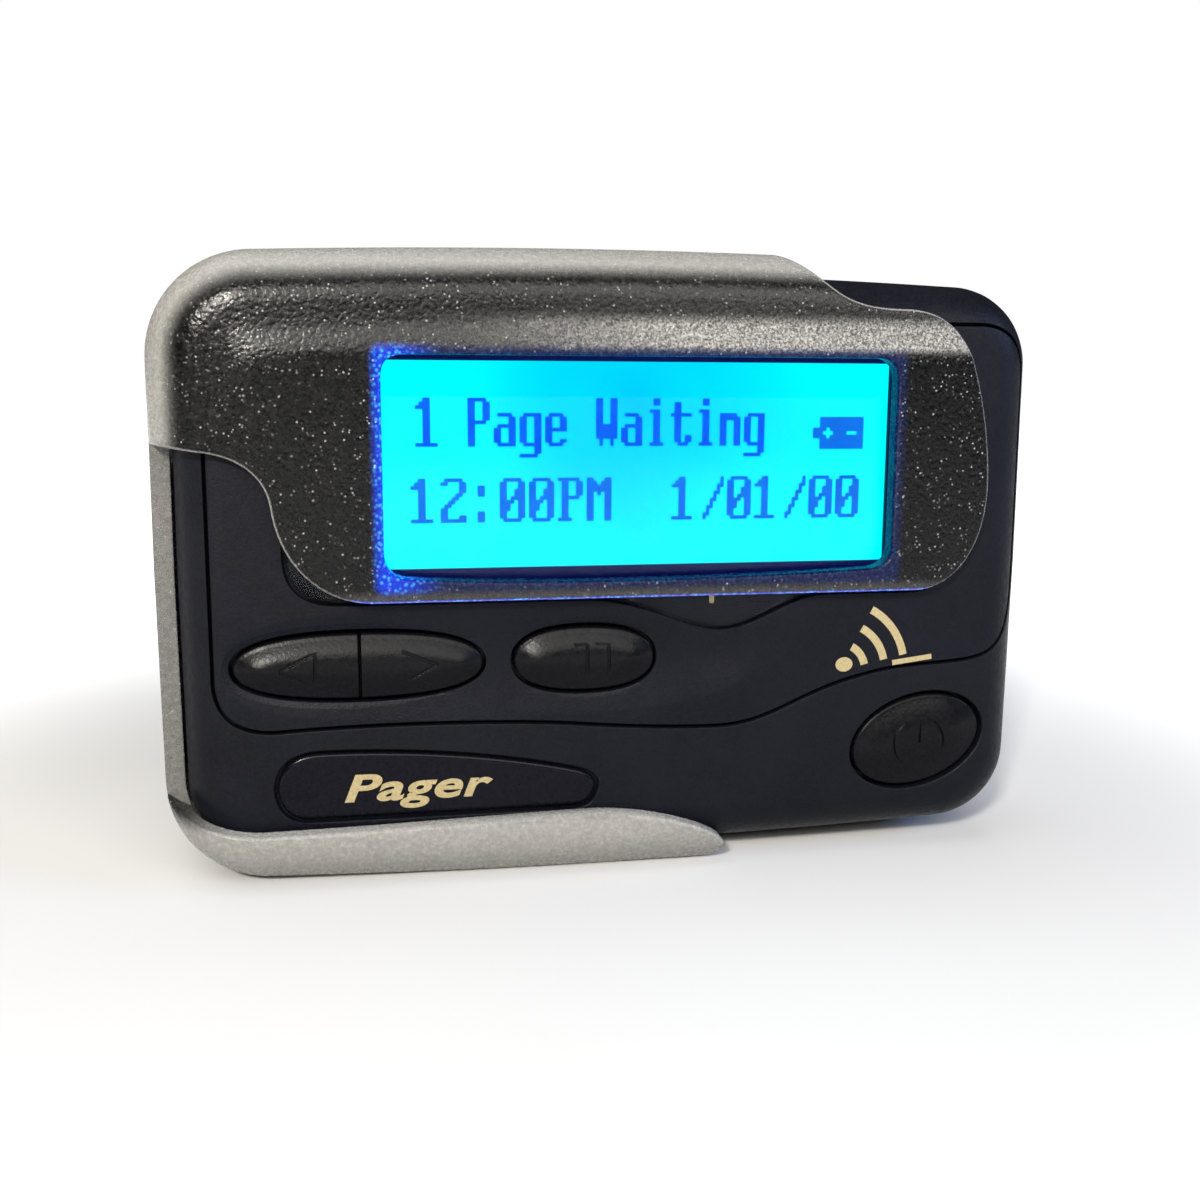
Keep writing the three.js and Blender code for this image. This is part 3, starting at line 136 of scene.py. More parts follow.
CLEARANCE = 0.3
SHELL_GROWTH = 2.0
SHELL_ROUND = FRONT_ROUND + SHELL_GROWTH
HOLSTER_FRONT = -SHELL_GROWTH
HOLSTER_BACK = DEPTH + SHELL_GROWTH
BASE_Z = BOTTOM - 1.4
CUT_ROUND = 0.45  # on the holster's cut edges
SIDE_CUTBACK = 4.2
HOOD_LOW = DISPLAY_BOTTOM - 3.05
HOOD_RIGHT = DISPLAY_RIGHT + 9.5
LIP_TOP = BASE_Z + 5.8
LIP_END = 9.7
RAIL_END = 13.6
BACK_PLATE_RIGHT = 33.0
DIP_DEPTH = 0.5  # of the trough round the window's raised surround
DIP_START = 2.5  # from the holster's silhouette
DIP_END = 9.3
DIP_LOW = 3.0  # the trough fades out towards this height
DIP_FADE = 9.0
PLATEAU_RADIUS = 2.6  # corners of the raised surround
PAINTED_HIGHLIGHT_BAND = ((19.4, 20.4), (23.8, 22.0))  # heights where the painted highlight band above the window comes and goes
# heights of a fainter painted highlight haze above that band
PAINTED_HAZE_BAND = ((21.4, 23.0), (27.0, 24.6))

CLIP_WIDTH = 20.0
CLIP_THICKNESS = 1.8
CLIP_INNER = HOLSTER_BACK + 4.7
CLIP_OUTER = CLIP_INNER + CLIP_THICKNESS
CLIP_PIN_Z = 13.0
CLIP_TAB_TOP = 21.5
CLIP_FOOT_Z = -19.0
PIN_RADIUS = 1.0
PIN_CLEARANCE = 0.3
BARREL_RADIUS = PIN_RADIUS + PIN_CLEARANCE + 1.3
PIN_Y = HOLSTER_BACK + BARREL_RADIUS + SEAM_GAP * 2
EAR_THICKNESS = 2.0
TORSION_LENGTH = 4.0
TORSION_WIRE = 0.6

FAR = 150.0
OUTSIDE = 60.0
NEAR_FRONT = -8.0  # in front of everything


# ------------------------------------------------------------ outlines
class Outline:
    """A closed outline in the X-Z plane, made of straight and curved stretches."""

    def __init__(self, x, z):
        self.points = [(x, z)]

    def line(self, x, z):
        self.points.append((x, z))
        return self

    def curve(self, x1, z1, x2, z2, x3, z3, steps=18):
        x0, z0 = self.points[-1]
        for i in range(1, steps + 1):
            t = i / steps
            s = 1 - t
            a, b, c, d = s ** 3, 3 * s * s * t, 3 * s * t * t, t ** 3
            self.points.append((
                a * x0 + b * x1 + c * x2 + d * x3,
                a * z0 + b * z1 + c * z2 + d * z3,
            ))
        return self

    def bend(self, x1, z1, x2, z2, steps=10):
        x0, z0 = self.points[-1]
        for i in range(1, steps + 1):
            t = i / steps
            s = 1 - t
            self.points.append((
                s * s * x0 + 2 * s * t * x1 + t * t * x2,
                s * s * z0 + 2 * s * t * z1 + t * t * z2,
            ))
        return self

    def closed(self):
        return turned_left(without_repeats(self.points))


def without_repeats(points):
    kept = []
    for point in points:
        if not kept or math.dist(point, kept[-1]) > 1e-4:
            kept.append(point)
    if math.dist(kept[0], kept[-1]) <= 1e-4:
        kept.pop()
    return kept


def turned_left(points):
    """The points in counter-clockwise order."""
    area = 0.0
    for (x0, z0), (x1, z1) in zip(points, points[1:] + points[:1]):
        area += x0 * z1 - x1 * z0
    return points if area > 0 else points[::-1]


def spaced(points, pitch):
    """The outline with points about a pitch apart, its own points kept."""
    out = []
    for (x0, z0), (x1, z1) in zip(points, points[1:] + points[:1]):
        steps = max(1, math.ceil(math.dist((x0, z0), (x1, z1)) / pitch))
        for i in range(steps):
            t = i / steps
            out.append((x0 + (x1 - x0) * t, z0 + (z1 - z0) * t))
    return out


def inset(points, distance):
    """The outline moved inwards by a distance (outwards when it is negative)."""
    count = len(points)
    out = []
    for i, (x, z) in enumerate(points):
        bx, bz = points[i - 1]
        ax, az = points[(i + 1) % count]
        incoming = Vector((x - bx, z - bz)).normalized()
        outgoing = Vector((ax - x, az - z)).normalized()
        along = (incoming + outgoing).normalized()
        stretch = distance / max(0.5, along.dot(outgoing))
        out.append((x - along.y * stretch, z + along.x * stretch))
    return out


def case_outline(offset, least_radius=0.0, corner_steps=22, edge_steps=20):
    half_width = WIDTH / 2 - offset
    half_height = HEIGHT / 2 - offset
    radius = max(CORNER_RADIUS - offset, least_radius)
    cx = half_width - radius
    cz = half_height - radius
    for _ in range(4):
        cx = half_width - radius - SIDE_CROWN * (cz / half_height) ** 2
        cz = half_height - radius - EDGE_CROWN * (cx / half_width) ** 2
    side_tilt = math.atan(2 * SIDE_CROWN * cz / half_height ** 2)
    edge_tilt = math.atan(2 * EDGE_CROWN * cx / half_width ** 2)
    quarter = []
    for i in range(corner_steps + 1):
        angle = side_tilt + i / corner_steps * (math.pi / 2 - side_tilt - edge_tilt)
        quarter.append((cx + radius * math.cos(angle), cz + radius * math.sin(angle)))
    reach = quarter[-1][0]
    for i in range(edge_steps - 1, 0, -1):
        x = reach * i / edge_steps
        quarter.append((x, half_height - EDGE_CROWN * (x / half_width) ** 2))
    back = quarter[::-1]
    points = [(half_width, 0.0)] + quarter + [(0.0, half_height)]
    points += [(-x, z) for x, z in back] + [(-half_width, 0.0)]
    points += [(-x, -z) for x, z in quarter] + [(0.0, -half_height)]
    return points + [(x, -z) for x, z in back]


def lozenge(left, right, low, top, fullness, offset=0.0):
    x0, x1 = left + offset, right - offset
    z0, z1 = low + offset, top - offset
    mx, mz = (x0 + x1) / 2, (z0 + z1) / 2
    rx, rz = (x1 - mx) * fullness, (z1 - mz) * 0.7
    outline = Outline(x1, mz)
    outline.curve(x1, mz + rz, mx + rx, z1, mx, z1)
    outline.curve(mx - rx, z1, x0, mz + rz, x0, mz)
    outline.curve(x0, mz - rz, mx - rx, z0, mx, z0)
    outline.curve(mx + rx, z0, x1, mz - rz, x1, mz)
    return outline.closed()


def rocker_outline(offset):
    return lozenge(
        ROCKER_LEFT, ROCKER_RIGHT, KEY_ROW_Z - ROCKER_HALF, KEY_ROW_Z + ROCKER_HALF, 0.62, offset)


def read_outline(offset):
    return lozenge(
        READ_LEFT, READ_RIGHT, KEY_ROW_Z - ROCKER_HALF, KEY_ROW_Z + ROCKER_HALF, 0.6, offset)


def ellipse(cx, cz, rx, rz, tilt=0.0, steps=72):
    c, s = math.cos(tilt), math.sin(tilt)
    points = []
    for i in range(steps):
        angle = 2 * math.pi * i / steps
        x, z = rx * math.cos(angle), rz * math.sin(angle)
        points.append((cx + x * c - z * s, cz + x * s + z * c))
    return points


def power_outline(offset):
    return ellipse(
        POWER_X, POWER_Z, POWER_LENGTH / 2 - offset, POWER_HEIGHT / 2 - offset, POWER_TILT)


def faceplate_outline():
    left, right, top = LEFT + 3, RIGHT - 1.2, TOP - 4.4
    low = KEY_ROW_Z - 5.8
    right_low = KEY_ROW_Z - 1.6
    dip = READ_RIGHT + 5.8
    o = Outline(left, top - 4.1)
    o.line(left, low + 5.2)
    o.curve(left - 0.2, low + 1.8, left + 1.8, low - 0.1, left + 5.4, low)
    o.curve(left + 14, low + 0.5, READ_LEFT, low + 0.3, READ_LEFT + 6, low - 0.3)
    o.curve(READ_RIGHT - 2, low - 0.9, dip - 3, low - 1.1, dip, low - 1.1)
    o.curve(dip + 6.4, low - 1, dip + 8, right_low - 1.6, dip + 18, right_low - 0.2)
    o.curve(right - 7, right_low + 0.2, right - 4, right_low, right - 2.4, right_low + 1.2)
    o.curve(right - 0.6, right_low + 2.4, right, right_low + 4.6, right, right_low + 8)
    o.line(right, top - 5.6)
    o.curve(right, top - 2, right - 1.4, top - 0.3, right - 4.6, top)
    o.line(left + 4, top)
    o.curve(left + 1.4, top, left, top - 1.4, left, top - 4.1)
    return o.closed()


def lens_outline():
    left, right = DISPLAY_LEFT - 8.2, DISPLAY_RIGHT + 6
    top, low = DISPLAY_TOP + 2.8, DISPLAY_BOTTOM - 3.3
    bulge = READ_RIGHT + 6
    o = Outline(left, top - 3)
    o.line(left, low + 4.2)
    o.curve(left, low + 1.4, left + 1.6, low, left + 4.6, low)
    o.line(bulge - 12, low)
    o.curve(bulge - 6.5, low - 0.6, bulge - 3.4, low - 3.1, bulge, low - 3.2)
    o.curve(bulge + 3.4, low - 3.1, bulge + 6.5, low - 0.3, bulge + 10, low)
    o.line(right - 3, low)
    o.curve(right - 1, low, right, low + 1, right, low + 3)
    o.line(right, top - 3)
    o.curve(right, top - 1, right - 1, top, right - 3, top)
    o.line(left + 3, top)
    o.curve(left + 1, top, left, top - 1, left, top - 3)
    return o.closed()


def nameplate_outline():
    left, right, low, top = PLATE_LEFT, PLATE_RIGHT, PLATE_LOW, PLATE_TOP
    o = Outline(left, low + 3.2)
    o.curve(left + 0.3, top - 1.2, left + 1.3, top - 0.1, left + 3.9, top)
    o.curve(left + 12, top + 0.1, right - 8.2, top - 1, right - 1.8, top - 2.6)
    o.curve(right + 0.1, top - 3.1, right + 0.4, low + 2.3, right - 0.1, low + 1.3)
    o.curve(right - 0.4, low + 0.3, right - 1.2, low, right - 2.7, low)
    o.line(left + 3.1, low)
    o.curve(left + 1.1, low, left + 0.1, low + 1.1, left, low + 3.2)
    return o.closed()


def hood_region():
    step_x, step_z = LEFT + 8.5, HOOD_LOW + 13.2
    low, right, high = HOOD_LOW, HOOD_RIGHT, TOP - 3.15
    edge = -OUTSIDE
    o = Outline(edge, step_z + 0.6)
    o.line(step_x - 10.5, step_z + 0.6)
    o.line(step_x - 6, step_z)
    o.curve(step_x - 2.5, step_z - 0.3, step_x - 0.4, step_z - 2, step_x, low + 8.7)
    o.curve(step_x + 0.5, low + 3.7, step_x + 3.9, low, step_x + 8.7, low)
    o.line(right - 7, low)
    o.curve(right - 3, low, right - 0.1, low + 3.9, right, low + 9.7)
    o.curve(right, high - 12, right - 0.8, high - 8.8, right - 2, high - 5)
    o.curve(right - 3, high - 1.8, right - 5, high, right - 8.8, high)
    o.curve(RAIL_END + 6.9, high, RAIL_END + 5.6, TOP - 1.8, RAIL_END + 4, TOP - 0.4)
    o.curve(RAIL_END + 2.8, TOP + 0.7, RAIL_END + 1.7, TOP + 1.6, RAIL_END, TOP + 2.4)
    o.line(RAIL_END, 45)
    o.line(edge, 45)
    return spaced(o.closed(), 0.5)


def lip_region():
    edge = -OUTSIDE
    o = Outline(edge, LIP_TOP + 4.6)
    o.line(LEFT - 4, LIP_TOP + 4.6)
    o.curve(LEFT - 1, LIP_TOP + 1.4, LEFT + 2, LIP_TOP - 0.1, LEFT + 6.5, LIP_TOP - 0.3)
    o.curve(LEFT + 18, LIP_TOP - 0.2, LIP_END - 22, LIP_TOP + 0.3, LIP_END - 12.7, LIP_TOP + 0.4)
    o.curve(LIP_END - 6.7, LIP_TOP + 0.3, LIP_END + 0.2, LIP_TOP - 2.2, LIP_END, LIP_TOP - 4)
    o.curve(LIP_END - 0.1, LIP_TOP - 5, LIP_END - 1, BASE_Z, LIP_END - 2, BASE_Z - 1)
    o.line(LIP_END - 2, -45)
    o.line(edge, -45)
    return spaced(o.closed(), 0.5)


def window_outline():
    left, right, low, top = WINDOW_LEFT, WINDOW_RIGHT, WINDOW_LOW, WINDOW_TOP
    r, bow = 2.0, 0.8
    o = Outline(left, top - r)
    o.line(left, low + bow + r)
    o.bend(left, low + bow, left + r, low + bow * 0.7)
    o.curve(left + 12, low - 0.1, right - 18, low - 0.1, right - r, low + bow * 0.8)
    o.bend(right, low + bow, right, low + bow + r)
    o.line(right, top - r)
    o.bend(right, top, right - r, top)
    o.line(left + r, top)
    o.bend(left, top, left, top - r)
    return o.closed()


def rounded_rectangle(x0, x1, z0, z1, radius, steps=12):
    points = []
    corners = [(x1 - radius, z0 + radius, -90), (x1 - radius, z1 - radius, 0),
               (x0 + radius, z1 - radius, 90), (x0 + radius, z0 + radius, 180)]
    for cx, cz, start in corners:
        points += arc(cx, cz, radius, start, start + 90, steps)
    return without_repeats(points)


def door_region(offset):
    x0 = BAY_LEFT - DOOR_LIP + offset
    z0 = BAY_BOTTOM - DOOR_LIP + offset
    z1 = BAY_TOP + DOOR_LIP - offset
    o = Outline(x0 + 2, z0)
    o.line(OUTSIDE, z0)
    o.line(OUTSIDE, z1)
    o.line(x0 + 2, z1)
    o.bend(x0, z1, x0, z1 - 2)
    o.line(x0, z0 + 2)
    o.bend(x0, z0, x0 + 2, z0)
    return o.closed()


# ------------------------------------------------------------ meshes
def tidy_mesh(name, points, faces):
    mesh = bpy.data.meshes.new(name)
    mesh.from_pydata(points, [], faces)
    bm = bmesh.new()
    bm.from_mesh(mesh)
    bmesh.ops.remove_doubles(bm, verts=bm.verts, dist=1e-4)
    bmesh.ops.recalc_face_normals(bm, faces=bm.faces)
    bm.to_mesh(mesh)
    bm.free()
    return mesh


def loft(rings):
    """A solid through rings of equal point count, each a list of (x, y, z)."""
    count = len(rings[0])
    points = [point for ring in rings for point in ring]
    faces = [tuple(range(count)), tuple(len(points) - 1 - i for i in range(count))]
    for r in range(len(rings) - 1):
        for i in range(count):
            a = r * count + i
            b = r * count + (i + 1) % count
            faces.append((a, b, b + count, a + count))
    return tidy_mesh("loft", points, faces)


def at_depth(points, y):
    return [(x, y, z) for x, z in points]


def prism(points, y0, y1):
    return loft([at_depth(points, y0), at_depth(points, y1)])


def prism_x(points, x0, x1):
    """An outline of (y, z) points pushed along X."""
    return loft([[(x, y, z) for y, z in points] for x in (x0, x1)])


def block(x0, x1, y0, y1, z0, z1):
    return prism([(x0, z0), (x1, z0), (x1, z1), (x0, z1)], y0, y1)


def bar_y(x, z, radius, y0, y1, steps=48):
    return prism(ellipse(x, z, radius, radius, 0.0, steps), y0, y1)


def bar_x(y, z, radius, x0, x1, steps=48):
    return prism_x(ellipse(y, z, radius, radius, 0.0, steps), x0, x1)


def quarter_turn(steps):
    """Angles from 0 to a right angle."""
    return [i / steps * math.pi / 2 for i in range(steps + 1)]


def rounded_form(offset, segments=12):
    """The case's outer form moved inwards by an offset, with both of its rounded edges."""
    front = max(FRONT_ROUND - offset, 0.2)
    back = max(BACK_ROUND - offset, 0.2)
    rings = []
    for angle in quarter_turn(segments):
        y = offset + front * (1 - math.cos(angle))
        rings.append(at_depth(case_outline(offset + front * (1 - math.sin(angle))), y))
    for angle in quarter_turn(segments)[::-1]:
        y = DEPTH - offset - back * (1 - math.cos(angle))
        rings.append(at_depth(case_outline(offset + back * (1 - math.sin(angle))), y))
    return loft(rings)


def hood_dip(reach, z):
    """How far the hood's front sinks between its rounded edge and the window's raised surround."""
    share = min(1.0, max(0.0, (z - DIP_LOW) / DIP_FADE))
    t = min(1.0, max(0.0, (reach - DIP_START) / (DIP_END - DIP_START)))
    return DIP_DEPTH * share * math.sin(math.pi * t) ** 2


def holster_form(segments=16, plateau_steps=10):
    """The holster's outer form, with that dip in its front."""
    rings = []
    reaches = [SHELL_ROUND * (1 - math.sin(angle)) for angle in quarter_turn(segments)[::-1]]
    run = DIP_END - SHELL_ROUND
    plateau = [SHELL_ROUND + run * i / plateau_steps for i in range(1, plateau_steps + 1)]
    for reach in (reaches + plateau)[::-1]:
        inner = max(0.0, SHELL_ROUND - reach)
        y = HOLSTER_FRONT + SHELL_ROUND - math.sqrt(SHELL_ROUND ** 2 - inner ** 2)
        outline = case_outline(reach - SHELL_GROWTH, PLATEAU_RADIUS)
        rings.append([(x, y + hood_dip(reach, z), z) for x, z in outline])
    back = BACK_ROUND + SHELL_GROWTH
    for angle in quarter_turn(segments)[::-1]:
        outline = case_outline(back * (1 - math.sin(angle)) - SHELL_GROWTH)
        rings.append(at_depth(outline, HOLSTER_BACK - back * (1 - math.cos(angle))))
    return loft(rings)


def form_depth(offset, dipped=False):
    """The depth of the front surface of that form, as a function of (x, z)."""
    radius = FRONT_ROUND - offset
    rim = [Vector(p) for p in case_outline(offset)]
    pairs = list(zip(rim, rim[1:] + rim[:1]))

    def depth(x, z):
        p = Vector((x, z))
        nearest = 1e9
        inside = False
        for a, b in pairs:
            ab = b - a
            t = min(1.0, max(0.0, (p - a).dot(ab) / ab.length_squared))
            nearest = min(nearest, (p - a - ab * t).length_squared)
            if (a.y > z) != (b.y > z) and x < a.x + (z - a.y) / (b.y - a.y) * (b.x - a.x):
                inside = not inside
        reach = math.sqrt(nearest) if inside else 0.0
        dip = hood_dip(reach, z) if dipped else 0.0
        if reach >= radius:
            return offset + dip
        return offset + dip + radius - math.sqrt(radius ** 2 - (radius - reach) ** 2)

    return depth


def edged(points, rounding, surface, back, flare=False):
    """A prism whose front edge is rounded where it meets a surface: it narrows there when it is
    the part that stays, and widens there (flare) when it is what is cut away."""
    side = -1 if flare else 1
    last = math.radians(72)
    steps = 6
    rings = [at_depth(points, back)]
    for i in range(steps + 1):
        angle = last * i / steps
        ring = inset(points, side * rounding * (1 - math.cos(angle)))
        rise = rounding * (math.sin(last) - math.sin(angle))
        rings.append([(x, surface(x, z) + rise, z) for x, z in ring])
    beyond = 0.5
    outer = inset(points, side * (rounding * (1 - math.cos(last)) + beyond * math.sin(last)))
    rings.append([(x, surface(x, z) - beyond * math.cos(last), z) for x, z in outer])
    rings.append(at_depth(outer, NEAR_FRONT))
    return loft(rings)


def shown(name, data):
    """A new object of the scene."""
    obj = bpy.data.objects.new(name, data)
    scene.collection.objects.link(obj)
    return obj


def finished_mesh(obj):
    """An object's mesh with its modifiers applied."""
    graph = bpy.context.evaluated_depsgraph_get()
    graph.update()
    return bpy.data.meshes.new_from_object(obj.evaluated_get(graph))


def boolean(first, operation, *others):
    """The first mesh combined with each of the others in turn."""
    holder = shown("work", first)
    tools = []
    for mesh in others:
        tool = shown("tool", mesh)
        modifier = holder.modifiers.new("step", "BOOLEAN")
        modifier.operation = operation
        modifier.solver = "MANIFOLD"
        modifier.object = tool
        tools.append(tool)
    result = finished_mesh(holder)
    for obj in [holder] + tools:
        bpy.data.objects.remove(obj)
    return result


def cut(first, *others):
    return boolean(first, "DIFFERENCE", *others)


def join(first, *others):
    return boolean(first, "UNION", *others)


def common(first, *others):
    return boolean(first, "INTERSECT", *others)


def flat_surface(y):
    return lambda x, z: y


def domed_plate(outline_at, y_edge, y_crown, y_back, rounding=0.25, dome_steps=10, reach=3.0):
    """A cap with a rounded rim and a domed front, from its crown to a flat back."""
    rings = []
    for i in range(dome_steps, 0, -1):
        share = i / dome_steps
        offset = rounding + reach * share
        lift = math.sin(share * math.pi / 2)
        rings.append(at_depth(outline_at(offset), y_edge + (y_crown - y_edge) * lift))
    for angle in quarter_turn(5):
        offset = rounding * (1 - math.sin(angle))
        rings.append(at_depth(outline_at(offset), y_edge + rounding * (1 - math.cos(angle))))
    rings.append(at_depth(outline_at(0.0), y_back))
    return loft(rings)


def wire(points, radius, sides=14):
    """A round wire along a list of points."""
    rings = []
    up = Vector((0, 0, 1))
    for i, point in enumerate(points):
        a = points[max(0, i - 1)]
        b = points[min(len(points) - 1, i + 1)]
        along = (Vector(b) - Vector(a)).normalized()
        side = along.cross(up)
        side = side.normalized() if side.length > 1e-3 else Vector((0, 1, 0))
        up = side.cross(along).normalized()
        ring = []
        for k in range(sides):
            angle = 2 * math.pi * k / sides
            outward = side * math.cos(angle) + up * math.sin(angle)
            ring.append(tuple(Vector(point) + radius * outward))
        rings.append(ring)
    return loft(rings)


def stroke(points, width, y0, y1):
    """A narrow band along an open line of (x, z) points."""
    left, right = [], []
    for i, (x, z) in enumerate(points):
        ax, az = points[max(0, i - 1)]
        bx, bz = points[min(len(points) - 1, i + 1)]
        along = Vector((bx - ax, bz - az)).normalized()
        left.append((x - along.y * width / 2, z + along.x * width / 2))
        right.append((x + along.y * width / 2, z - along.x * width / 2))
    return prism(turned_left(left + right[::-1]), y0, y1)


def arc(cx, cz, radius, start, end, steps=24):
    points = []
    for i in range(steps + 1):
        angle = math.radians(start + (end - start) * i / steps)
        points.append((cx + radius * math.cos(angle), cz + radius * math.sin(angle)))
    return points


def merged(meshes):
    """Several separate meshes as one."""
    bm = bmesh.new()
    for mesh in meshes:
        bm.from_mesh(mesh)
    out = bpy.data.meshes.new("merged")
    bm.to_mesh(out)
    bm.free()
    return out


# ------------------------------------------------------------ materials
def new_material(name, roughness, metallic=0.0):
    material = bpy.data.materials.new(name)
    material.use_nodes = True
    tree = material.node_tree
    shader = tree.nodes["Principled BSDF"]
    shader.inputs["Roughness"].default_value = roughness
    shader.inputs["Metallic"].default_value = metallic
    return material, tree, shader


def place_vector(tree, stretch=(1.0, 1.0, 1.0)):
    coordinates = tree.nodes.new("ShaderNodeTexCoord")
    mapping = tree.nodes.new("ShaderNodeMapping")
    mapping.inputs["Scale"].default_value = stretch
    tree.links.new(coordinates.outputs["Object"], mapping.inputs["Vector"])
    return mapping.outputs["Vector"]


def noise(tree, size_mm, detail=3.0, stretch=(1.0, 1.0, 1.0), roughness=0.5):
    node = tree.nodes.new("ShaderNodeTexNoise")
    node.inputs["Scale"].default_value = 1 / (size_mm * MM)
    node.inputs["Detail"].default_value = detail
    node.inputs["Roughness"].default_value = roughness
    tree.links.new(place_vector(tree, stretch), node.inputs["Vector"])
    return node.outputs["Fac"]


def cells(tree, size_mm, feature="F1", output="Distance"):
    node = tree.nodes.new("ShaderNodeTexVoronoi")
    node.feature = feature
    node.inputs["Scale"].default_value = 1 / (size_mm * MM)
    tree.links.new(place_vector(tree), node.inputs["Vector"])
    return node.outputs[output]


def ramp(tree, value, stops, smooth=False):
    """Colours by value: stops are (position, colour) pairs, and a single number is a grey."""
    node = tree.nodes.new("ShaderNodeValToRGB")
    node.color_ramp.interpolation = "EASE" if smooth else "LINEAR"
    elements = node.color_ramp.elements
    while len(elements) < len(stops):
        elements.new(0.5)
    for element, (place_on_ramp, color) in zip(elements, stops):
        element.position = place_on_ramp
        element.color = (*(color if isinstance(color, tuple) else (color,) * 3), 1.0)
    tree.links.new(value, node.inputs["Fac"])
    return node.outputs["Color"]


def connect(tree, value, socket):
    """Links a node's output to a socket, or sets the socket to a plain value."""
    if isinstance(value, bpy.types.NodeSocket):
        tree.links.new(value, socket)
    elif socket.type == "RGBA":
        socket.default_value = (*value, 1.0)
    else:
        socket.default_value = value


def feed(tree, shader, **values):
    """Links or sets sockets by name, with an underscore for each space in the name."""
    for name, value in values.items():
        connect(tree, value, shader.inputs[name.replace("_", " ")])


def mix(tree, factor, a, b):
    node = tree.nodes.new("ShaderNodeMix")
    node.data_type = "RGBA"
    slots = [s for s in node.inputs if s.enabled]
    for socket, value in zip(slots, (factor, a, b)):
        connect(tree, value, socket)
    return [s for s in node.outputs if s.enabled][0]


def math_node(tree, operation, a, b=0.0, c=0.0):
    node = tree.nodes.new("ShaderNodeMath")
    node.operation = operation
    for socket, value in zip(node.inputs, (a, b, c)):
        connect(tree, value, socket)
    return node.outputs[0]


def vector_node(tree, operation, a, b=(0.0, 0.0, 0.0)):
    node = tree.nodes.new("ShaderNodeVectorMath")
    node.operation = operation
    connect(tree, a, node.inputs[0])
    connect(tree, b, node.inputs[1])
    return node.outputs["Value" if operation == "LENGTH" else "Vector"]


def times(tree, first, *others):
    """The product of several values."""
    for other in others:
        first = math_node(tree, "MULTIPLY", first, other)
    return first


def largest(tree, first, *others):
    for other in others:
        first = math_node(tree, "MAXIMUM", first, other)
    return first


def axes(tree, vector):
    """The X, Y and Z outputs of a vector."""
    split = tree.nodes.new("ShaderNodeSeparateXYZ")
    tree.links.new(vector, split.inputs[0])
    return split.outputs


def span_mask(tree, value, start, end, base=None, unit=MM):
    """0 to 1 as a value goes from start to end: heights in millimetres unless told otherwise."""
    node = tree.nodes.new("ShaderNodeMapRange")
    node.interpolation_type = "SMOOTHSTEP"
    offset = ORIGIN.z if base is None else base
    node.inputs["From Min"].default_value = start * unit + offset
    node.inputs["From Max"].default_value = end * unit + offset
    tree.links.new(value, node.inputs["Value"])
    return node.outputs["Result"]


def add_bump(tree, shader, height, distance_mm, strength=1.0, rounding_mm=0.0):
    bump = tree.nodes.new("ShaderNodeBump")
    bump.inputs["Strength"].default_value = strength
    bump.inputs["Distance"].default_value = distance_mm * MM
    tree.links.new(height, bump.inputs["Height"])
    if rounding_mm:
        bevel = tree.nodes.new("ShaderNodeBevel")
        bevel.samples = 4
        bevel.inputs["Radius"].default_value = rounding_mm * MM
        tree.links.new(bevel.outputs["Normal"], bump.inputs["Normal"])
    tree.links.new(bump.outputs["Normal"], shader.inputs["Normal"])


def moulded(name, dark, light, roughness, grain_mm, grain_depth_mm, rounding_mm=0.0, sheen=0.1):
    """Moulded plastic: fine spark-eroded grain, uneven gloss and slight colour drift."""
    material, tree, shader = new_material(name, roughness)
    drift = noise(tree, 9.0, 3.0)
    speck = noise(tree, grain_mm, 2.0)
    shade = math_node(tree, "MULTIPLY_ADD", speck, 0.6, math_node(tree, "MULTIPLY", drift, 0.4))
    feed(tree, shader,
         Base_Color=ramp(tree, shade, [(0.32, dark), (0.62, light)]),
         Roughness=ramp(tree, noise(tree, grain_mm * 3, 2.0), [
             (0.3, roughness * 0.82), (0.7, min(1.0, roughness * 1.18))]),
         Specular_IOR_Level=sheen)
    add_bump(tree, shader, speck, grain_depth_mm, 1.0, rounding_mm)
    return material


def box_distance(tree, spot, x0, x1, z0, z1):
    """Distance in metres from a point to a rectangle in the X-Z plane."""
    gaps = []
    for axis, low, high in (("X", x0, x1), ("Z", z0, z1)):
        base = ORIGIN.x if axis == "X" else ORIGIN.z
        under = math_node(tree, "SUBTRACT", low * MM + base, spot[axis])
        over = math_node(tree, "SUBTRACT", spot[axis], high * MM + base)
        gap = largest(tree, under, over, 0.0)
        gaps.append(math_node(tree, "MULTIPLY", gap, gap))
    return math_node(tree, "SQRT", math_node(tree, "ADD", *gaps))


def band_mask(tree, value, rise, fall, base=None):
    """1 between two edges: rise and fall are (start, end) pairs in millimetres."""
    return times(tree, span_mask(tree, value, *rise, base), span_mask(tree, value, *fall, base))


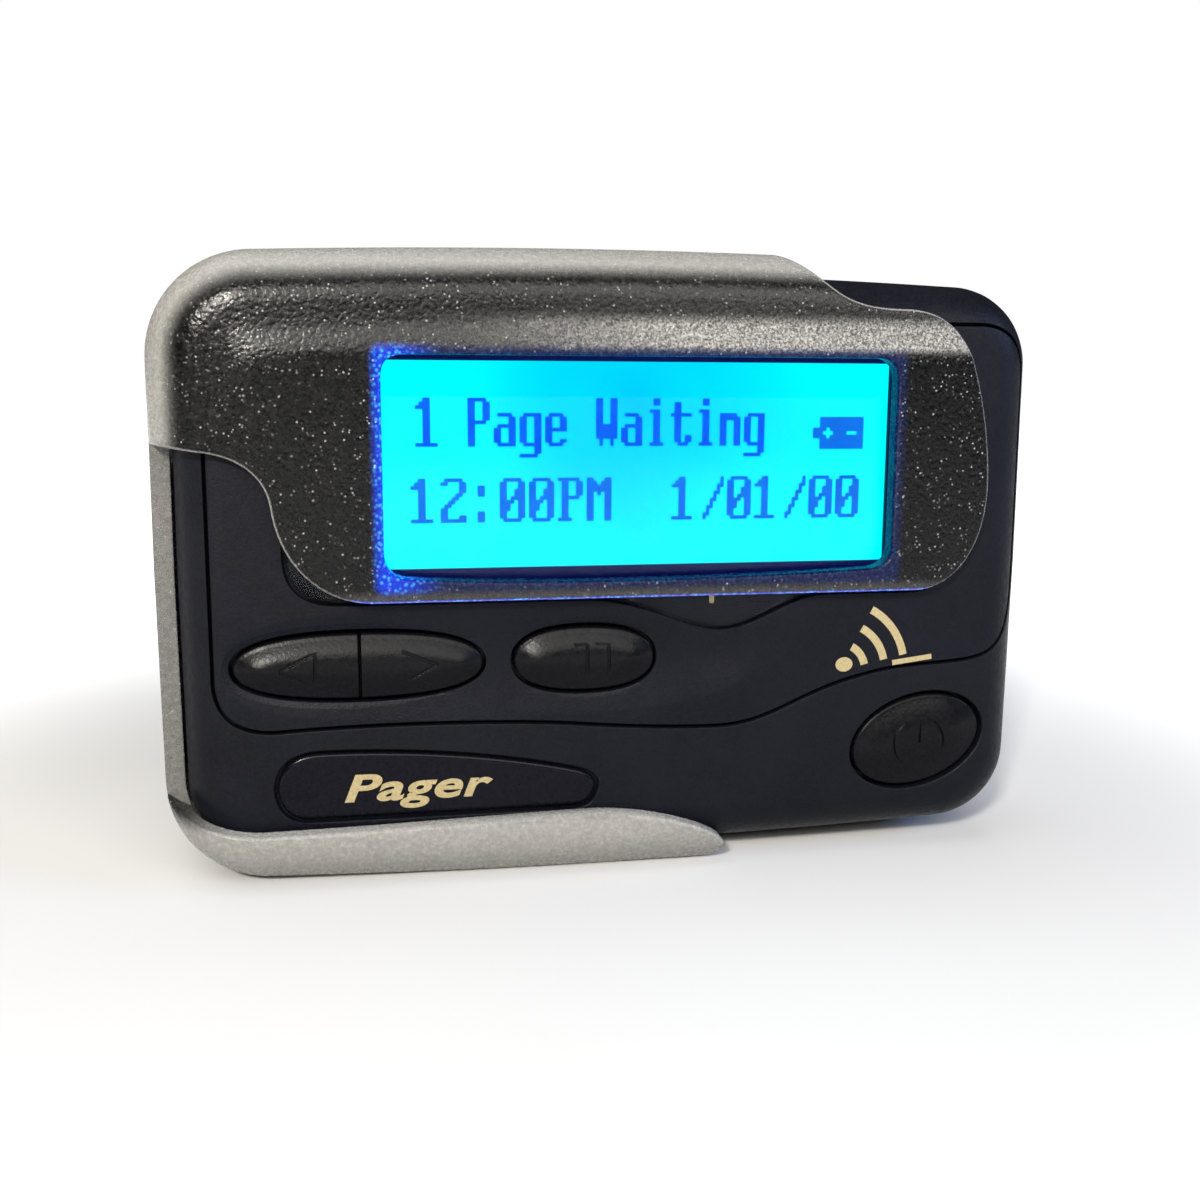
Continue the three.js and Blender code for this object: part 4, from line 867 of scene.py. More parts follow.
def painted_light_mask(tree, spot, normal):
    """Where pale light is painted into the holster's colour: painted light through its rims and its lip,
    painted highlight lines on its cut edges and the hood's lower edge, a painted highlight band above
    the window, and painted glints all over."""
    # Painted light: pale where the surface turns away from the front, standing in for light through the
    # rims; kept by height and depth to the hood above the step, the lip and the front.
    facing = math_node(tree, "ABSOLUTE", normal["Y"])
    rim = ramp(tree, facing, [(0.0, 1.0), (0.62, 0.85), (0.95, 0.0)], smooth=True)
    lip = span_mask(tree, spot["Z"], LIP_TOP + 2.5, LIP_TOP - 0.5)
    above = span_mask(tree, spot["Z"], HOOD_LOW + 11.0, HOOD_LOW + 14.5)
    front = span_mask(tree, spot["Y"], -0.2, -1.0, ORIGIN.y)
    painted_rim_light = times(tree, rim, largest(tree, lip, above, front))
    # Painted light through the lip, and a painted highlight line on the end wall's cut edge.
    painted_lip_light = times(tree, lip, span_mask(tree, spot["Y"], 8.0, 5.0, ORIGIN.y), 0.9)
    painted_edge_line = times(tree, band_mask(tree, spot["Y"], (3.9, 4.1), (4.6, 4.3), ORIGIN.y), 0.6)

    # Painted highlight band and haze above the window, stronger to the right.
    to_the_right = span_mask(tree, spot["X"], -28.0, 8.0, ORIGIN.x)
    fine = noise(tree, 0.2, 3.0)
    band = times(tree, band_mask(tree, spot["Z"], *PAINTED_HIGHLIGHT_BAND), to_the_right,
                 ramp(tree, fine, [(0.36, 0.35), (0.64, 1.0)]))
    painted_haze = times(tree, band_mask(tree, spot["Z"], *PAINTED_HAZE_BAND), to_the_right, 0.16)

    # Painted glints: pale specks in the colour stand in for sparkling highlights on the grain.
    painted_glints = ramp(tree, cells(tree, 0.44), [(0.12, 1.0), (0.28, 0.0)])
    patches = ramp(tree, noise(tree, 1.3, 2.0), [(0.40, 0.04), (0.60, 1.0)])
    # foot: a painted highlight line along the hood's lower edge.
    foot = times(tree, span_mask(tree, spot["Z"], HOOD_LOW + 1.5, HOOD_LOW + 0.3), front, 0.3)
    painted_specks = times(tree, painted_glints, patches)
    painted_light = largest(tree, painted_rim_light, painted_lip_light, painted_edge_line, band, painted_haze, painted_specks, foot)

    window = box_distance(tree, spot, WINDOW_LEFT, WINDOW_RIGHT, WINDOW_LOW, WINDOW_TOP)
    return times(tree, painted_light, span_mask(tree, window, 0.08, 0.28, 0.0))


def painted_display_glow(tree, spot, normal):
    """How much painted blue glow of the display's light the holster itself emits: round the window, most
    at its left, and along the hood's lower edge."""
    near = box_distance(tree, spot, WINDOW_LEFT, WINDOW_RIGHT, WINDOW_LOW + 0.05, WINDOW_TOP)
    west = span_mask(tree, spot["X"], DISPLAY_LEFT + 6.0, DISPLAY_LEFT + 0.5, ORIGIN.x)
    strength = math_node(tree, "MULTIPLY_ADD", west, 0.8, 0.07)
    strip = times(tree, span_mask(tree, near, 1.2, 0.1, 0.0), strength)
    low_edge = band_mask(
        tree, spot["Z"], (HOOD_LOW + 0.55, HOOD_LOW + 0.1), (HOOD_LOW - 1.5, HOOD_LOW - 0.5))
    down = span_mask(tree, normal["Z"], -0.25, -0.8, 0.0, 1.0)
    beside = box_distance(tree, spot, DISPLAY_LEFT - 2, DISPLAY_RIGHT + 1, -OUTSIDE, OUTSIDE)
    line = times(tree, low_edge, down, span_mask(tree, beside, 6.0, 0.0, 0.0), 0.8)
    front = span_mask(tree, spot["Y"], 0.3, -0.2, ORIGIN.y)
    return times(tree, largest(tree, strip, line), front)


def smoke_material():
    """Smoke-grey translucent polycarbonate with a coarse grain, nearly black over the pager, with painted
    pale light and a painted blue glow in its colour and emission.
    """
    material, tree, shader = new_material("smoke_polycarbonate", 0.3)
    grain = noise(tree, 0.45, 3.0, (1.0, 1.0, 1.0), 0.6)
    pits = cells(tree, 0.4)
    height = math_node(tree, "SUBTRACT", grain, times(tree, pits, 0.5))
    deep = ramp(tree, noise(tree, 6.0, 3.0), [
        (0.3, (0.003, 0.003, 0.005)), (0.7, (0.007, 0.0065, 0.009))])
    painted_light_color = ramp(tree, grain, [(0.3, (0.31, 0.304, 0.287)), (0.7, (0.45, 0.44, 0.415))])
    normal = axes(tree, tree.nodes.new("ShaderNodeNewGeometry").outputs["Normal"])
    spot = axes(tree, place_vector(tree))
    painted_light = painted_light_mask(tree, spot, normal)
    painted_glow = painted_display_glow(tree, spot, normal)
    # spark: painted cyan sparkles of the display's light, emitted by the holster itself.
    spark = ramp(tree, pits, [(0.12, (0.05, 0.35, 1.0)), (0.5, (0.0, 0.02, 0.42))])
    feed(tree, shader,
         Base_Color=mix(tree, painted_light, deep, painted_light_color),
         Roughness=ramp(tree, grain, [(0.3, 0.17), (0.7, 0.34)]),
         Transmission_Weight=ramp(tree, painted_light, [(0.0, 0.96), (1.0, 0.35)]),
         IOR=1.28, Specular_IOR_Level=0.5,
         Emission_Color=mix(tree, painted_glow, (0.0, 0.0, 0.0), spark), Emission_Strength=2.0)
    add_bump(tree, shader, height, 0.045, 1.0, 0.2)
    return material


def lens_material():
    material, tree, shader = new_material("lens_acrylic", 0.03)
    tint = ramp(tree, noise(tree, 14.0, 2.0), [(0.3, (0.80, 0.86, 0.95)), (0.7, (0.88, 0.92, 1.0))])
    feed(tree, shader, Base_Color=tint,
         Roughness=ramp(tree, noise(tree, 3.0, 4.0), [(0.35, 0.0), (0.8, 0.012)]),
         Transmission_Weight=1.0, IOR=1.14, Specular_IOR_Level=0.12)
    return material


def backing_material():
    """Screen-printed black behind the lens, with a painted blue glow of the display's light near the
    display.
    """
    material, tree, shader = new_material("printed_black", 0.25)
    color = ramp(tree, noise(tree, 0.8, 3.0), [
        (0.3, (0.001, 0.001, 0.003)), (0.7, (0.002, 0.002, 0.006))])
    spot = axes(tree, place_vector(tree))
    near = box_distance(tree, spot, DISPLAY_LEFT, DISPLAY_RIGHT, DISPLAY_BOTTOM, DISPLAY_TOP)
    # Painted glow: the print emits blue near the display, standing in for the backlight's spill.
    painted_glow = mix(tree, span_mask(tree, near, 2.6, 0.2, 0.0), (0.0, 0.0, 0.0), (0.002, 0.006, 0.075))
    feed(tree, shader, Base_Color=color, Specular_IOR_Level=0.03,
         Emission_Color=painted_glow, Emission_Strength=1.0)
    add_bump(tree, shader, noise(tree, 0.4, 2.0), 0.004)
    return material


def glow_material(name, stops, strength):
    """A lit face whose colour runs from its middle to its ends."""
    material, tree, shader = new_material(name, 0.35)
    centre = Vector(((DISPLAY_LEFT + DISPLAY_RIGHT) / 2, 0, DISPLAY_TOP - 3.0)) * MM + ORIGIN
    middle = vector_node(tree, "SUBTRACT", place_vector(tree), tuple(centre))
    scaled = vector_node(tree, "MULTIPLY", middle, (1 / 0.024, 0.0, 1 / 0.020))
    length = vector_node(tree, "LENGTH", scaled)
    cloud = math_node(tree, "MULTIPLY", noise(tree, 11.0, 1.0), 0.35)
    reach = math_node(tree, "ADD", length, cloud)
    color = ramp(tree, reach, stops, smooth=True)
    grainy = mix(tree, ramp(tree, noise(tree, 0.12, 1.0), [(0.3, 0.0), (0.7, 0.12)]),
                 color, (0.0, 0.75, 1.0))
    feed(tree, shader, Base_Color=(0.0, 0.03, 0.04), Specular_IOR_Level=0.0,
         Emission_Color=grainy, Emission_Strength=strength)
    return material


def ink_material(name, a, b, strength):
    """Switched-on dots of the display: blue against the backlight."""
    material, tree, shader = new_material(name, 0.4)
    color = ramp(tree, noise(tree, 2.5, 2.0), [(0.35, a), (0.65, b)])
    feed(tree, shader, Base_Color=(0.0, 0.01, 0.05), Specular_IOR_Level=0.0,
         Emission_Color=color, Emission_Strength=strength)
    return material


def gold_material():
    material, tree, shader = new_material("gold_ink", 0.38, 0.35)
    color = ramp(tree, noise(tree, 0.25, 3.0), [
        (0.3, (0.26, 0.21, 0.105)), (0.7, (0.37, 0.30, 0.155))])
    feed(tree, shader, Base_Color=color)
    add_bump(tree, shader, noise(tree, 0.12, 2.0), 0.008)
    return material


def metal_material(name, a, b, roughness, stretch=(1.0, 1.0, 1.0)):
    material, tree, shader = new_material(name, roughness, 1.0)
    brushed = noise(tree, 0.5, 4.0, stretch)
    gloss = ramp(tree, noise(tree, 1.6, 3.0), [(0.3, roughness * 0.7), (0.75, roughness * 1.4)])
    feed(tree, shader, Base_Color=ramp(tree, brushed, [(0.3, a), (0.7, b)]), Roughness=gloss)
    add_bump(tree, shader, brushed, 0.006)
    return material


def board_material():
    """Green solder mask with copper runs showing through and pale pads."""
    material, tree, shader = new_material("solder_mask", 0.35)
    runs = tree.nodes.new("ShaderNodeTexVoronoi")
    runs.distance = "MANHATTAN"
    runs.feature = "DISTANCE_TO_EDGE"
    runs.inputs["Scale"].default_value = 1 / (2.2 * MM)
    tree.links.new(place_vector(tree), runs.inputs["Vector"])
    trace = ramp(tree, runs.outputs["Distance"], [(0.04, 1.0), (0.09, 0.0)])
    color = mix(tree, trace, (0.012, 0.085, 0.035), (0.03, 0.2, 0.075))
    feed(tree, shader, Base_Color=color)
    add_bump(tree, shader, trace, 0.02)
    return material


def jacket_material():
    """Printed plastic sleeve of the cell: a coloured band at one end, bare tone elsewhere."""
    material, tree, shader = new_material("cell_sleeve", 0.3)
    start = (CELL_LEFT + 12.0) * MM + ORIGIN.x
    edge = math_node(tree, "GREATER_THAN", axes(tree, place_vector(tree))["X"], start)
    tone = ramp(tree, noise(tree, 5.0, 3.0), [(0.3, (0.02, 0.08, 0.2)), (0.7, (0.03, 0.12, 0.28))])
    color = mix(tree, edge, (0.55, 0.33, 0.12), tone)
    feed(tree, shader, Base_Color=color)
    add_bump(tree, shader, noise(tree, 0.9, 3.0), 0.02)
    return material


def striped_rubber():
    """Rubber with the thin conducting layers of a display connector."""
    material, tree, shader = new_material("striped_rubber", 0.8)
    wave = tree.nodes.new("ShaderNodeTexWave")
    wave.inputs["Scale"].default_value = 1 / (0.9 * MM)
    tree.links.new(place_vector(tree), wave.inputs["Vector"])
    color = ramp(tree, wave.outputs["Fac"], [(0.4, (0.02, 0.02, 0.02)), (0.6, (0.3, 0.16, 0.15))])
    feed(tree, shader, Base_Color=color)
    add_bump(tree, shader, wave.outputs["Fac"], 0.03)
    return material


case_plastic = moulded("case_abs", (0.0016, 0.0018, 0.0034), (0.0044, 0.0048, 0.0078), 0.42, 0.22, 0.035)
plate_plastic = moulded(
    "faceplate_abs", (0.0014, 0.0016, 0.0034), (0.004, 0.0044, 0.0078), 0.44, 0.2, 0.035)
key_plastic = moulded("key_abs", (0.0012, 0.0012, 0.0016), (0.0032, 0.0032, 0.0042), 0.3, 0.3, 0.02, 0.17)
clip_plastic = moulded("clip_nylon", (0.012, 0.012, 0.013), (0.024, 0.024, 0.025), 0.5, 0.4, 0.05, 0.25)
chip_plastic = moulded("chip_epoxy", (0.012, 0.012, 0.013), (0.03, 0.03, 0.031), 0.55, 0.15, 0.02, 0.1)
label_plastic = moulded("label_gloss", (0.0014, 0.0014, 0.003), (0.0034, 0.0034, 0.006), 0.2, 0.35, 0.006)
diffuser = moulded("diffuser_film", (0.75, 0.8, 0.82), (0.9, 0.94, 0.95), 0.6, 0.5, 0.02)
rubber = moulded("pad_silicone", (0.03, 0.03, 0.034), (0.055, 0.055, 0.06), 0.8, 0.4, 0.04, 0.15)
smoke = smoke_material()
lens_clear = lens_material()
printed_black = backing_material()
lit = glow_material("lit_display", [
    (0.0, (0.0, 0.52, 1.0)), (0.45, (0.0, 0.70, 1.0)), (0.9, (0.0, 1.0, 1.0))], 1.15)
dots_bold = ink_material("ink_bold", (0.0, 0.09, 0.86), (0.0, 0.13, 0.95), 1.0)
dots_thin = ink_material("ink_thin", (0.0, 0.14, 0.78), (0.0, 0.18, 0.88), 1.0)
gold = gold_material()
steel = metal_material("steel", (0.42, 0.43, 0.44), (0.62, 0.63, 0.64), 0.3)
brass = metal_material("brass", (0.55, 0.36, 0.12), (0.78, 0.55, 0.22), 0.3)
solder_mask = board_material()
cell_sleeve = jacket_material()
connector_rubber = striped_rubber()


# ------------------------------------------------------------ placing pieces
def place(name, mesh, material, body, slot, *replaced, sharp=32.0):
    """Turns a mesh in millimetres of the pager frame into a piece of the model."""
    bm = bmesh.new()
    bm.from_mesh(mesh)
    bmesh.ops.dissolve_degenerate(bm, edges=bm.edges, dist=1e-4)
    for vertex in bm.verts:
        vertex.co = vertex.co * MM + ORIGIN
    bm.to_mesh(mesh)
    bm.free()
    mesh.name = name
    mesh.materials.clear()
    mesh.materials.append(material)
    mesh.polygons.foreach_set("use_smooth", [True] * len(mesh.polygons))
    mesh.polygons.foreach_set("material_index", [0] * len(mesh.polygons))
    mesh.set_sharp_from_angle(angle=math.radians(sharp))
    obj = shown(name, mesh)
    weighted = obj.modifiers.new("weighted", "WEIGHTED_NORMAL")
    weighted.keep_sharp = True
    weighted.weight = 100
    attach(obj, body)
    if replaced:
        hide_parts(*replaced)
    return obj


# ------------------------------------------------------------ pager case
case_outer = rounded_form(0.0)
case_inner = rounded_form(CASE_WALL, 6)
case_surface = form_depth(0.0)


def front_housing():
    body = cut(case_outer, case_inner)
    bosses = [bar_y(x, z, FRONT_BOSS, CASE_WALL - 0.5, 5.3) for x, z in SCREWS]
    bosses = [common(boss, case_outer) for boss in bosses]
    body = join(body, *bosses)
    recess_outline = spaced(inset(faceplate_outline(), -SEAM_GAP / 2), 0.6)
    recess = edged(recess_outline, EDGE_ROUND, case_surface, CASE_SPLIT - 1, flare=True)
    recess = cut(recess, rounded_form(FACEPLATE_THICKNESS + SEAT_GAP))
    label = edged(inset(nameplate_outline(), -SEAM_GAP / 2), EDGE_ROUND, case_surface,
                  PLATE_THICKNESS + SEAT_GAP * 2, flare=True)
    aperture = block(DISPLAY_LEFT - 0.6, DISPLAY_RIGHT + 0.6, -1, 3,
                     DISPLAY_BOTTOM - 0.6, DISPLAY_TOP + 0.6)
    threads = [bar_y(x, z, SCREW_BORE, CASE_WALL, CASE_SPLIT, 24) for x, z in SCREWS]
    inner = flat_surface(FACEPLATE_THICKNESS + SEAT_GAP)
    holes = [edged(outline(0.0), EDGE_ROUND, inner, 3, flare=True)
             for outline in (rocker_outline, read_outline)]
    holes.append(edged(power_outline(0.0), EDGE_ROUND * 1.5, case_surface, 3, flare=True))
    behind = block(-FAR, FAR, CASE_SPLIT - SEAM_GAP / 2, FAR, -FAR, FAR)
    return cut(body, recess, label, aperture, *threads, *holes, behind)


def scoop():
    """The shallow dish in the faceplate round the keys."""
    rings = []
    steps = 14
    for i in range(steps, -1, -1):
        share = i / steps
        offset = 5.4 * share
        depth = 0.5 * math.sin(share * math.pi / 2) ** 1.2
        rings.append(at_depth(lozenge(*SCOOP_BOX, 0.8, offset), depth))
    rings.append(at_depth(lozenge(*SCOOP_BOX, 0.8, -0.4), -0.02))
    rings.append(at_depth(lozenge(*SCOOP_BOX, 0.8, -0.4), -3.0))
    return loft(rings)


def faceplate():
    layer = cut(case_outer, rounded_form(FACEPLATE_THICKNESS))
    outline = spaced(inset(faceplate_outline(), SEAM_GAP / 2), 0.6)
    region = edged(outline, EDGE_ROUND, case_surface, CASE_SPLIT - 1)
    flat = flat_surface(0.0)
    lens_hole = edged(inset(lens_outline(), -SEAM_GAP / 2), EDGE_ROUND, flat, 2, flare=True)
    dish = flat_surface(0.3)
    holes = [edged(o(0.0), EDGE_ROUND, dish, 2, flare=True) for o in (rocker_outline, read_outline)]
    return cut(common(layer, region), scoop(), lens_hole, *holes)


place("front_housing_looks", front_housing(), case_plastic, "pager", "case_plastic", "front_housing")
place("faceplate_looks", faceplate(), plate_plastic, "pager", "case_plastic", "faceplate")


# ------------------------------------------------------------ display
def lens():
    outline = inset(lens_outline(), SEAM_GAP / 2)
    plate = edged(outline, 0.2, flat_surface(SEAT_GAP), FACEPLATE_THICKNESS - 0.06)
    front = block(-FAR, FAR, NEAR_FRONT - 1, SEAT_GAP, -FAR, FAR)
    return cut(plate, front)


def lens_print():
    outline = inset(lens_outline(), SEAM_GAP / 2 + 0.05)
    sheet = prism(outline, FACEPLATE_THICKNESS - 0.05, FACEPLATE_THICKNESS - 0.01)
    hole = prism(rounded_rectangle(DISPLAY_LEFT - 0.3, DISPLAY_RIGHT + 0.3, DISPLAY_BOTTOM - 0.4,
                                   DISPLAY_TOP + 0.4, 0.6), 0, 3)
    return cut(sheet, hole)


place("lens_looks", lens(), lens_clear, "pager", "lens_plastic", "display_lens")
place("lens_print", lens_print(), printed_black, "pager", "lens_plastic")

BOLD_GLYPHS = {
    "1": "..##../.###../####../..##../..##../..##../..##../..##../..##../..##../..##../..##../######",
    "P": "#####./##..##/##..##/##..##/##..##/##..##/#####./##..../##..../##..../##..../##..../##....",
    "a": "////.####./....##/....##/.#####/##..##/##..##/##..##/##..##/.#####",
    "g": "////.#####/##..##/##..##/##..##/##..##/##..##/##..##/##..##/.#####/....##/....##/#####.",
    "e": "////.####./##..##/##..##/##..##/######/##..../##..../##..##/.####.",
    "W": "##..##/##..##/##..##/##..##/##..##/##..##/##..##/######/######/######/######/.#..#./.#..#.",
    "i": "..##../..##..//.###../..##../..##../..##../..##../..##../..##../..##../..##../.####.",
    "t": "/.##.../.##.../.##.../######/.##.../.##.../.##.../.##.../.##.../.##.##/.##.##/..###.",
    "n": "////#####./######/##..##/##..##/##..##/##..##/##..##/##..##/##..##",
}
THIN_GLYPHS = {
    "1": "..##/.###/####/..##/..##/..##/..##/..##/..##/..##/..##/######",
    "2": ".#####./##...##/.....##/.....##/....##./...##../..##.../.##..../##...../##...../##...##/#######",
    "0": ".#####./##...##/##...##/##..###/##..###/##.####/####.##/###..##/###..##/##...##/##...##/.#####.",
    ":": "//..##/..##/..##/////..##/..##/..##",
    "P": "######./.##..##/.##..##/.##..##/.##..##/.#####./.##..../.##..../.##..../.##..../.##..../####...",
    "M": "##...##/###.###/#######/#######/##.#.##/##...##/##...##/##...##/##...##/##...##/##...##/##...##",
    "/": "......#/......#/.....##/.....#./....##./....#../...##../...#.../..##.../..#..../.##..../.#.....",
}
BATTERY = ("..#############/..#############/..#############/####.##########/###...####...##/"
           "####.##########/..#############/..#############/..#############")


def dot_cells(rows, left, top):
    """The corner of each dark dot of one glyph."""
    spots = []
    for r, row in enumerate(rows.split("/")):
        for c, mark in enumerate(row):
            if mark == "#":
                spots.append((left + c * DOT, top - (r + 1) * DOT))
    return spots


def dot_line(text, glyphs, pitch, left, top):
    spots = []
    for i, letter in enumerate(text):
        if letter != " ":
            spots += dot_cells(glyphs[letter], left + i * pitch * DOT, top)
    return spots


def dot_mesh(spots, size):
    y0, y1 = GLASS_FRONT + 0.02, GLASS_FRONT + 0.05
    points, faces = [], []
    for x, z in spots:
        base = len(points)
        for y in (y0, y1):
            points += [(x, y, z), (x + size, y, z), (x + size, y, z + size), (x, y, z + size)]
        corners = [(0, 1, 2, 3), (7, 6, 5, 4), (0, 4, 5, 1),
                   (1, 5, 6, 2), (2, 6, 7, 3), (3, 7, 4, 0)]
        faces += [tuple(base + k for k in face) for face in corners]
    mesh = bpy.data.meshes.new("dots")
    mesh.from_pydata(points, [], faces)
    return mesh


def glass():
    top, low = DISPLAY_TOP + GLASS_BORDER, DISPLAY_BOTTOM - GLASS_BORDER
    left, right = DISPLAY_LEFT - GLASS_BORDER, DISPLAY_RIGHT + GLASS_BORDER
    middle = (GLASS_FRONT + GLASS_BACK) / 2
    front = block(left, right, GLASS_FRONT + 0.06, middle + 0.1, low, top)
    return join(front, block(left, right, middle, GLASS_BACK, low - GLASS_LEDGE, top))


place("display_glass_looks", glass(), lit, "pager", "lit_display", "display_glass")
bold_spots = dot_line("1 Page Waiting", BOLD_GLYPHS, 7, -18.9, 15.68)
thin_spots = dot_line("12:00PM  1/01/00", THIN_GLYPHS, 8, -19.4, 8.5)
thin_spots += dot_cells(BATTERY, 18.25, 14.0)
place("display_dots_bold", dot_mesh(bold_spots, DOT - 0.004), dots_bold, "pager", "display_ink")
place("display_dots_thin", dot_mesh(thin_spots, DOT - 0.008), dots_thin, "pager", "display_ink")


# ------------------------------------------------------------ keys
def key_cap(outline_at, reach, crown=KEY_PROUD):
    def cap_outline(offset):
        return outline_at(KEY_GAP + offset)

    cap = domed_plate(cap_outline, 0.15, -crown, FLANGE_BACK, 0.3, 12, reach)
    rim = prism(inset(outline_at(KEY_GAP), -KEY_FLANGE), FLANGE_FRONT, FLANGE_BACK)
    return join(cap, rim)


def engrave(cap, lines, width=0.28, depth=0.24):
    tools = [stroke(line, width, -3.0, -KEY_PROUD + depth) for line in lines]
    return cut(cap, *tools)


rocker_cap = key_cap(rocker_outline, 2.4)
half_left = block(-FAR, ROCKER_SPLIT - SEAM_GAP / 2, -FAR, FAR, -FAR, FAR)
half_right = block(ROCKER_SPLIT + SEAM_GAP / 2, FAR, -FAR, FAR, -FAR, FAR)
left_marks = [
    [(-31.2, -8.1), (-28.1, -6.6)], [(-28.1, -6.55), (-28.2, -9.9)], [(-28.1, -9.9), (-31.2, -8.2)],
]
right_marks = [[(-20.5, -6.7), (-17.3, -8.0)], [(-17.3, -7.9), (-20.6, -9.7)]]
read_marks = [
    [(-4.9, -6.6), (-3.7, -6.5)], [(-3.7, -6.5), (-3.7, -10.2)], [(-3.7, -10.2), (-4.9, -10.3)],
    [(-2.9, -6.5), (-1.7, -6.5)], [(-1.7, -6.5), (-1.7, -10.4)], [(-1.7, -10.4), (-2.9, -10.4)],
]
power_marks = [
    arc(POWER_X - 0.1, POWER_Z - 0.2, 2.55, 125, 415),
    [(POWER_X, POWER_Z + 2.9), (POWER_X, POWER_Z - 0.2)],
]
place("left_key_looks", engrave(common(rocker_cap, half_left), left_marks), key_plastic,
      "left_cap", "key_plastic", "left_key")
place("right_key_looks", engrave(common(rocker_cap, half_right), right_marks), key_plastic,
      "right_cap", "key_plastic", "right_key")
place("read_key_looks", engrave(key_cap(read_outline, 2.4), read_marks), key_plastic,
      "read_cap", "key_plastic", "read_key")
place("power_key_looks", engrave(key_cap(power_outline, 3.6), power_marks), key_plastic,
      "power_cap", "key_plastic", "power_key")


# ------------------------------------------------------------ nameplate and prints
def nameplate():
    outline = inset(nameplate_outline(), SEAM_GAP / 2)
    rings = []
    for angle in quarter_turn(6):
        rings.append(at_depth(inset(outline, 0.45 * (1 - math.sin(angle))),
                              SEAT_GAP + 0.3 * (1 - math.cos(angle))))
    rings.append(at_depth(outline, PLATE_THICKNESS))
    return loft(rings)


def letters(text, size, stretch, x, z, y0, y1, shear=0.0, weight=0.02):
    """Raised plain letters from Blender's own font."""
    curve = bpy.data.curves.new("letters", "FONT")
    curve.body = text
    curve.size = size
    curve.shear = shear
    curve.offset = weight
    curve.extrude = (y1 - y0) / 2
    curve.space_character = 1.05
    obj = shown("letters", curve)
    mesh = finished_mesh(obj)
    bpy.data.objects.remove(obj)
    for vertex in mesh.vertices:
        u, v, w = vertex.co
        vertex.co = (x + u * stretch, (y0 + y1) / 2 - w, z + v)
    return mesh


place("nameplate_looks", nameplate(), label_plastic, "pager", "label_plastic", "nameplate")
word = letters("Pager", 3.5, 1.58, -26.1, -20.5, SEAT_GAP - 0.02, SEAT_GAP + 0.02, 0.25, 0.09)
place("nameplate_word", word, gold, "pager", "gold_print")

wave_parts = [stroke(arc(20.8, -10.0, radius, 12, 62), 0.75, -0.02, 0.03)
              for radius in (2.6, 4.6, 6.6)]
wave_parts.append(prism(ellipse(21.3, -9.4, 0.85, 0.7), -0.02, 0.03))
wave_parts.append(stroke([(26.2, -9.4), (30.2, -8.9)], 0.5, -0.02, 0.03))
place("wave_print", merged(wave_parts), gold, "pager", "gold_print")
mast = [stroke([(8.1, -0.6), (8.1, -3.1)], 0.45, SEAT_GAP - 0.03, SEAT_GAP),
        stroke([(7.1, -1.5), (9.1, -1.5)], 0.4, SEAT_GAP - 0.03, SEAT_GAP)]
place("lens_mark", merged(mast), gold, "pager", "gold_print")


# ------------------------------------------------------------ back of the pager
def back_housing():
    shell = cut(case_outer, case_inner)
    before = block(-FAR, FAR, -FAR, CASE_SPLIT + SEAM_GAP / 2, -FAR, FAR)
    inner_form = rounded_form(0.5)
    bosses = [common(bar_y(x, z, BACK_BOSS, BOARD_BACK + SEAT_GAP, DEPTH - 1), inner_form)
              for x, z in SCREWS]
    y0, y1 = CASE_SPLIT + SEAM_GAP, DEPTH - CASE_WALL + 0.5
    shelf = block(BAY_LEFT - 1, RIGHT - 1, y0, y1, BAY_TOP, BAY_TOP + 1)
    end = block(BAY_LEFT - 1, BAY_LEFT, y0, y1, BAY_BOTTOM, BAY_TOP + 1)
    walls = common(join(shelf, end), inner_form)
    body = join(cut(shell, before), *bosses, walls)
    shanks = [bar_y(x, z, SCREW_BORE, 0, DEPTH + 1, 24) for x, z in SCREWS]
    heads = [bar_y(x, z, SCREW_HEAD_BORE, SCREW_HEAD_FRONT - SEAT_GAP, DEPTH + 1)
             for x, z in SCREWS]
    door_layer = prism(door_region(0.0), DEPTH - BACK_ROUND - SEAM_GAP, OUTSIDE)
    door_seat = cut(door_layer, rounded_form(DOOR_THICKNESS + SEAM_GAP))
    bay = block(BAY_LEFT, CELL_RIGHT + 3.5, BOARD_BACK, OUTSIDE, BAY_BOTTOM, BAY_TOP)
    slots = []
    for z in (BUZZER_Z - 2, BUZZER_Z, BUZZER_Z + 2):
        slot = rounded_rectangle(BUZZER_X - 4, BUZZER_X + 4, z - 0.4, z + 0.4, 0.39, 6)
        slots.append(prism(slot, DEPTH - CASE_WALL - 1, OUTSIDE))
    return cut(body, *shanks, *heads, door_seat, bay, *slots)


def battery_door():
    layer = cut(case_outer, rounded_form(DOOR_THICKNESS))
    behind = block(-FAR, FAR, DEPTH - BACK_ROUND, OUTSIDE, -FAR, FAR)
    door = common(layer, prism(door_region(SEAM_GAP), 0, 50), behind)
    ribs = []
    for i in range(5):
        z = CELL_Z - 3.2 + i * 1.6
        groove = rounded_rectangle(24, 33, z - 0.25, z + 0.25, 0.24, 6)
        ribs.append(prism(groove, DEPTH - 0.3, OUTSIDE))
    return cut(door, *ribs)


place("back_housing_looks", back_housing(), case_plastic, "pager", "case_plastic", "back_housing")
place("battery_door_looks", battery_door(), case_plastic, "door", "case_plastic", "battery_door")


